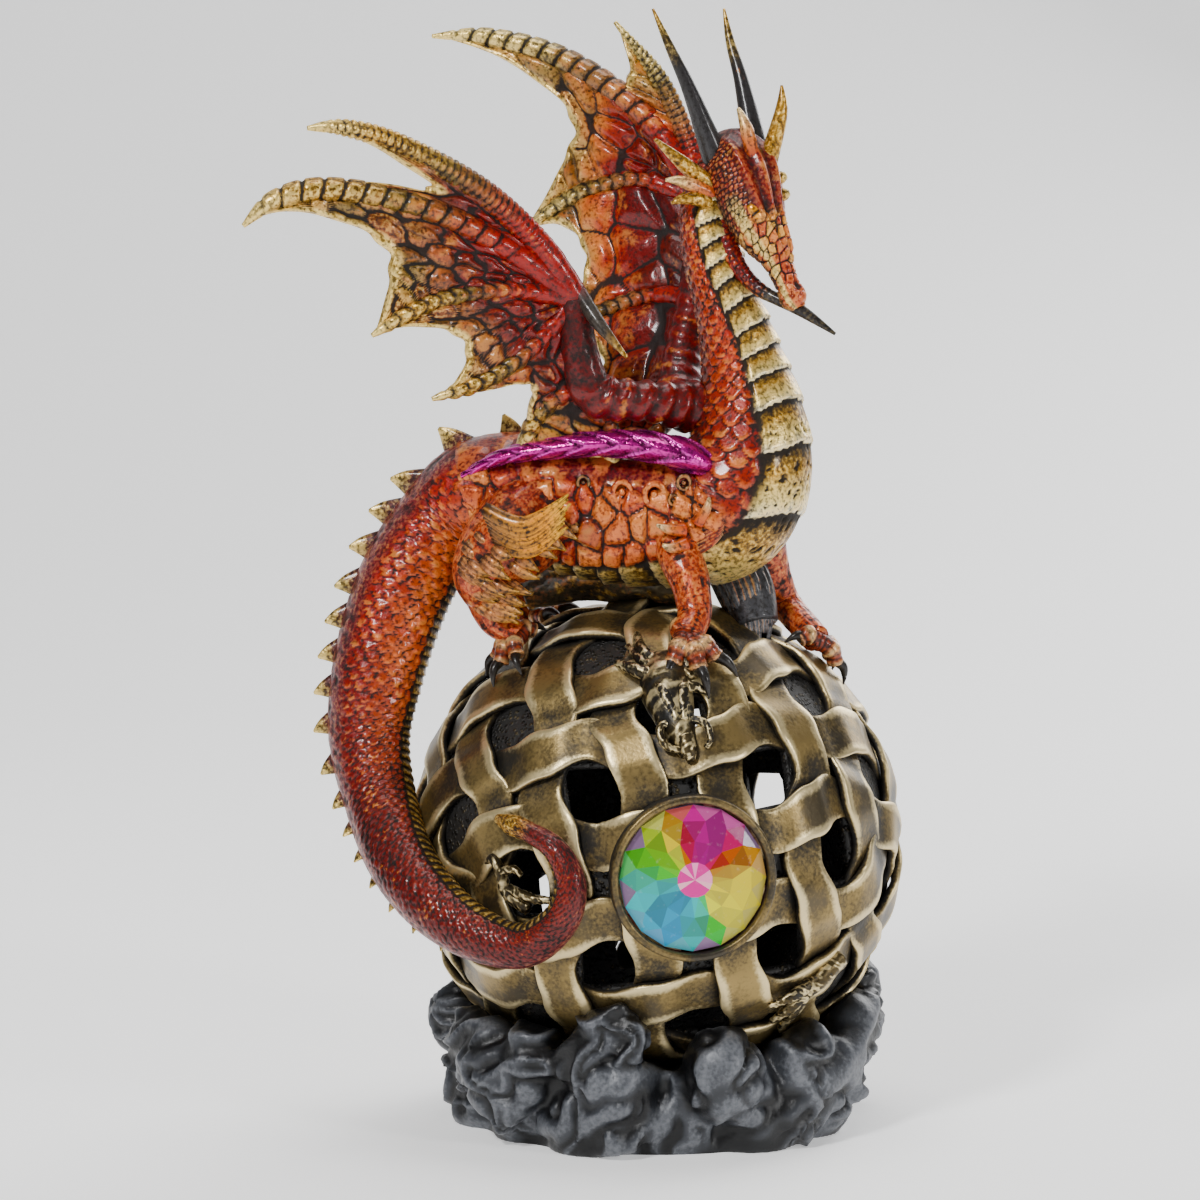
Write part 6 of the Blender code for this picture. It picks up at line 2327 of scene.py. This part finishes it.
@dataclass
class Studio:
    """A pale floor that curves up behind, soft lamps and the camera."""

    eye: tuple[float, float, float] = (-0.01026, -0.66, 0.1506)
    tilt: float = 4.91
    lens: float = 110.0
    aim: tuple[float, float, float] = (0.0, 0.0, 0.10)
    sweep: float = 0.6
    flat_to: float = 0.5
    floor_size: float = 5.0

    def floor(self) -> None:
        """A pale glowing sheet that curves up behind the piece."""
        Bench.clear()
        bpy.ops.mesh.primitive_grid_add(x_subdivisions=2, y_subdivisions=60, size=1)
        sheet = bpy.context.object
        sheet.name = sheet.data.name = "floor"
        for vert in sheet.data.vertices:
            run = (vert.co.y + 0.5) * self.floor_size - 2.0
            turn = min(max((run - self.flat_to) / self.sweep, 0.0), math.pi / 2)
            rise = self.sweep * (1 - math.cos(turn)) + max(run - self.flat_to - self.sweep * math.pi / 2, 0.0)
            vert.co = (
                vert.co.x * self.floor_size, min(run, self.flat_to) + self.sweep * math.sin(turn), rise
            )
        desk = Desk("pale_floor")
        tone = desk.grain(3.0, 2.0)
        colour = desk.mix((0.90, 0.90, 0.90), (0.94, 0.94, 0.94), tone)
        paper = desk.finish(
            Base_Color=colour, Roughness=0.85, Specular_IOR_Level=0.1, Emission_Color=colour,
            Emission_Strength=0.46
        )
        sheet.data.materials.append(paper)
        bpy.ops.object.shade_smooth()
        sheet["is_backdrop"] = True

    def lamp(self, name: str, place: tuple, power: float, size: float) -> None:
        """A soft square lamp.

        Args:
            name: its name.
            place: where it stands.
            power: watts.
            size: metres a side.
        """
        light = bpy.data.lights.new(name, "AREA")
        light.energy = power
        light.size = size
        thing = Bench.put(name, light)
        thing.location = place
        thing.rotation_euler = (Vector(self.aim) - Vector(place)).to_track_quat("-Z", "Y").to_euler()

    def build(self) -> None:
        """Sets up the floor, the lamps, the surroundings and the camera."""
        self.floor()
        self.lamp("key", (-0.45, -0.75, 0.75), 9.0, 0.16)
        self.lamp("fill", (0.75, -0.60, 0.35), 3.6, 0.18)
        self.lamp("top", (0.05, 0.10, 0.95), 5.0, 0.5)
        self.lamp("rim", (0.50, 0.65, 0.50), 5.0, 0.5)
        world = bpy.data.worlds.new("studio")
        world.use_nodes = True
        back = world.node_tree.nodes["Background"]
        back.inputs["Color"].default_value = (1.0, 1.0, 1.0, 1.0)
        back.inputs["Strength"].default_value = 0.08
        bpy.context.scene.world = world
        camera = bpy.data.cameras.new("camera")
        camera.sensor_width = 36.0
        camera.lens = self.lens
        thing = Bench.put("camera", camera)
        thing.location = self.eye
        thing.rotation_euler = (math.radians(90 - self.tilt), 0, 0)
        bpy.context.scene.camera = thing


def legs() -> list[Leg]:
    """The four legs."""
    return [
        Leg("near_fore", (
            (7.4, -9.0, 18.2, 6.0), (3.6, -16.0, 11.0, 4.0), (5.6, -20.0, 4.0, 3.2), (6.2, -22.6, -1.5, 2.7)
        ),
            10.0, 56.5, -80, 2.6, ORANGE),
        Leg(
            "far_fore", ((17.0, -1.0, 12.0, 5.5), (21.0, 0.8, 3.0, 3.3), (23.8, 1.2, -2.0, 2.6)), 76.0, 52.0,
            -35, 2.4, ORANGE
        ),
        Leg("near_hind", ((-19.8, -7.0, 16.6, 7.6), (-25.4, -10.6, 12.0, 7.8), (-30.6, -12.0, 5.6, 5.6),
                          (-30.4, -11.0, 0.2, 3.3),
                          (-28.8, -10.6, -3.6, 2.5)), -65.0, 54.5, -80, 2.2, ORANGE),
        Leg("far_hind", (
            (-21.0, 6.5, 15.0, 7.2), (-24.5, 12.5, 9.0, 6.4), (-26.5, 15.5, 2.0, 3.6),
            (-24.0, 17.0, -4.4, 2.5)
        ),
            -127.0, 52.5, 100, 2.4, ORANGE),
    ]


def wings() -> list[Wing]:
    """The near and the far wing."""
    near_wrist, far_wrist = (-14.6, -16.0, 53.5), (8.0, 12.0, 71.5)
    near = Wing(
        "near_wing",
        (
            (6.0, -8.0, 34.5, 4.2), (-1.4, -13.0, 35.6, 3.0), (-10.8, -15.0, 37.0, 3.4),
            (-13.8, -16.0, 44.0, 3.0), (*near_wrist, 2.6)
        ),
        (
            (
                (*near_wrist, 2.5), (-20.7, -18.0, 62.9, 2.3), (-31.0, -22.0, 72.5, 2.2),
                (-44.6, -26.0, 80.1, 1.8), (-53.9, -28.0, 82.9, 1.4), (-60.3, -29.0, 82.8, 0.6),
            ),
            (
                (*near_wrist, 2.2), (-27.6, -20.0, 63.0, 2.2), (-41.2, -26.0, 69.5, 2.0),
                (-56.4, -30.0, 72.3, 2.0), (-65.6, -32.0, 70.5, 1.6), (-71.0, -33.0, 66.1, 0.6),
            ),
            (
                (*near_wrist, 1.8), (-25.9, -20.0, 55.2, 1.6), (-37.9, -25.0, 53.5, 1.5),
                (-44.7, -27.0, 50.4, 1.4), (-49.5, -28.0, 47.4, 0.6)
            ),
            (
                (*near_wrist, 1.6), (-20.7, -18.0, 46.5, 1.6), (-27.7, -21.0, 41.0, 1.5),
                (-33.7, -23.0, 38.3, 1.4), (-39.4, -24.0, 36.4, 0.6)
            ),
            (
                (-10.6, -14.8, 38.0, 1.6), (-16.4, -14.4, 37.0, 1.6), (-21.2, -13.4, 33.3, 1.6),
                (-23.2, -11.0, 27.6, 1.8)
            ),
            (
                (-8.8, -14.8, 37.0, 1.6), (-8.6, -13.4, 33.0, 1.6), (-8.4, -12.2, 29.0, 1.6),
                (-8.2, -11.0, 25.0, 1.6)
            ),
        ),
        (0.52, 0.40, 0.42, 0.50, 0.0), (15, 13, 9, 8, 4), (3.2, 4.6, 4.2, 2.6, 2.4), far=False,
    )
    far = Wing(
        "far_wing",
        ((4.0, -1.0, 33.5, 4.4), (4.5, 4.0, 42.0, 3.2), (7.0, 8.0, 55.6, 2.6), (*far_wrist, 2.4)),
        (
            ((*far_wrist, 2.4), (6.2, 14.0, 80.7, 1.8), (0.7, 17.0, 93.5, 1.6), (-7.5, 20.0, 104.2, 0.6)),
            (
                (*far_wrist, 2.4), (-1.1, 17.0, 86.0, 2.2), (-15.8, 24.0, 97.0, 2.2),
                (-30.7, 29.0, 102.0, 1.6), (-41.6, 31.0, 102.4, 0.6)
            ),
            (
                (*far_wrist, 2.0), (-2.9, 17.0, 75.3, 1.6), (-12.1, 22.0, 73.6, 1.6),
                (-17.7, 25.0, 70.9, 1.6), (-24.9, 27.0, 66.0, 0.8)
            ),
            (
                (6.4, 7.0, 54.0, 1.8), (-1.1, 12.0, 54.0, 1.6), (-12.1, 17.0, 50.3, 1.4),
                (-21.4, 21.0, 44.8, 0.8)
            ),
            ((3.6, 1.5, 37.0, 1.8), (-4.0, 5.0, 34.5, 1.6), (-13.0, 7.0, 30.0, 1.6), (-18.0, 6.0, 26.0, 1.6)),
            ((3.6, 1.0, 35.0, 1.6), (1.0, 0.5, 31.0, 1.6), (-1.5, 0.0, 27.0, 1.6), (-4.0, -0.5, 23.0, 1.6)),
        ),
        (0.42, 0.44, 0.34, 0.40, 0.0), (7, 9, 4.6, 4.0, 2.5), (1.6, 3.0, 2.6, 2.4, 1.6), far=True,
        arm_ribs=0.3,
    )
    return [near, far]


def main() -> list:
    """Builds every sub-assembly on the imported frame.

    Returns:
        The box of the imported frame.
    """
    logging.basicConfig(level=logging.INFO, format="%(message)s")
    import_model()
    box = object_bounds()
    Studio().build()
    shop = Workshop()
    Spine().build(shop)
    Head().build(shop)
    for wing in wings():
        wing.build(shop)
    skins, claws = [], []
    for leg in legs():
        skin, claw = leg.build()
        skins += skin
        claws += claw
    shop.paint(Bench.join("legs", skins))
    shop.paint(Bench.join("claws", claws), PaintedResin(name="claw_black", metallic=0.1, rub_and_highlight=0.1))
    Trimmings().build(shop)
    Weave().build(shop)
    Jewel().build(shop)
    OrbCarvings().build(shop)
    Smoke().build(shop)
    Bench.clear()
    return box


if __name__ == "__main__":
    cad_box = main()
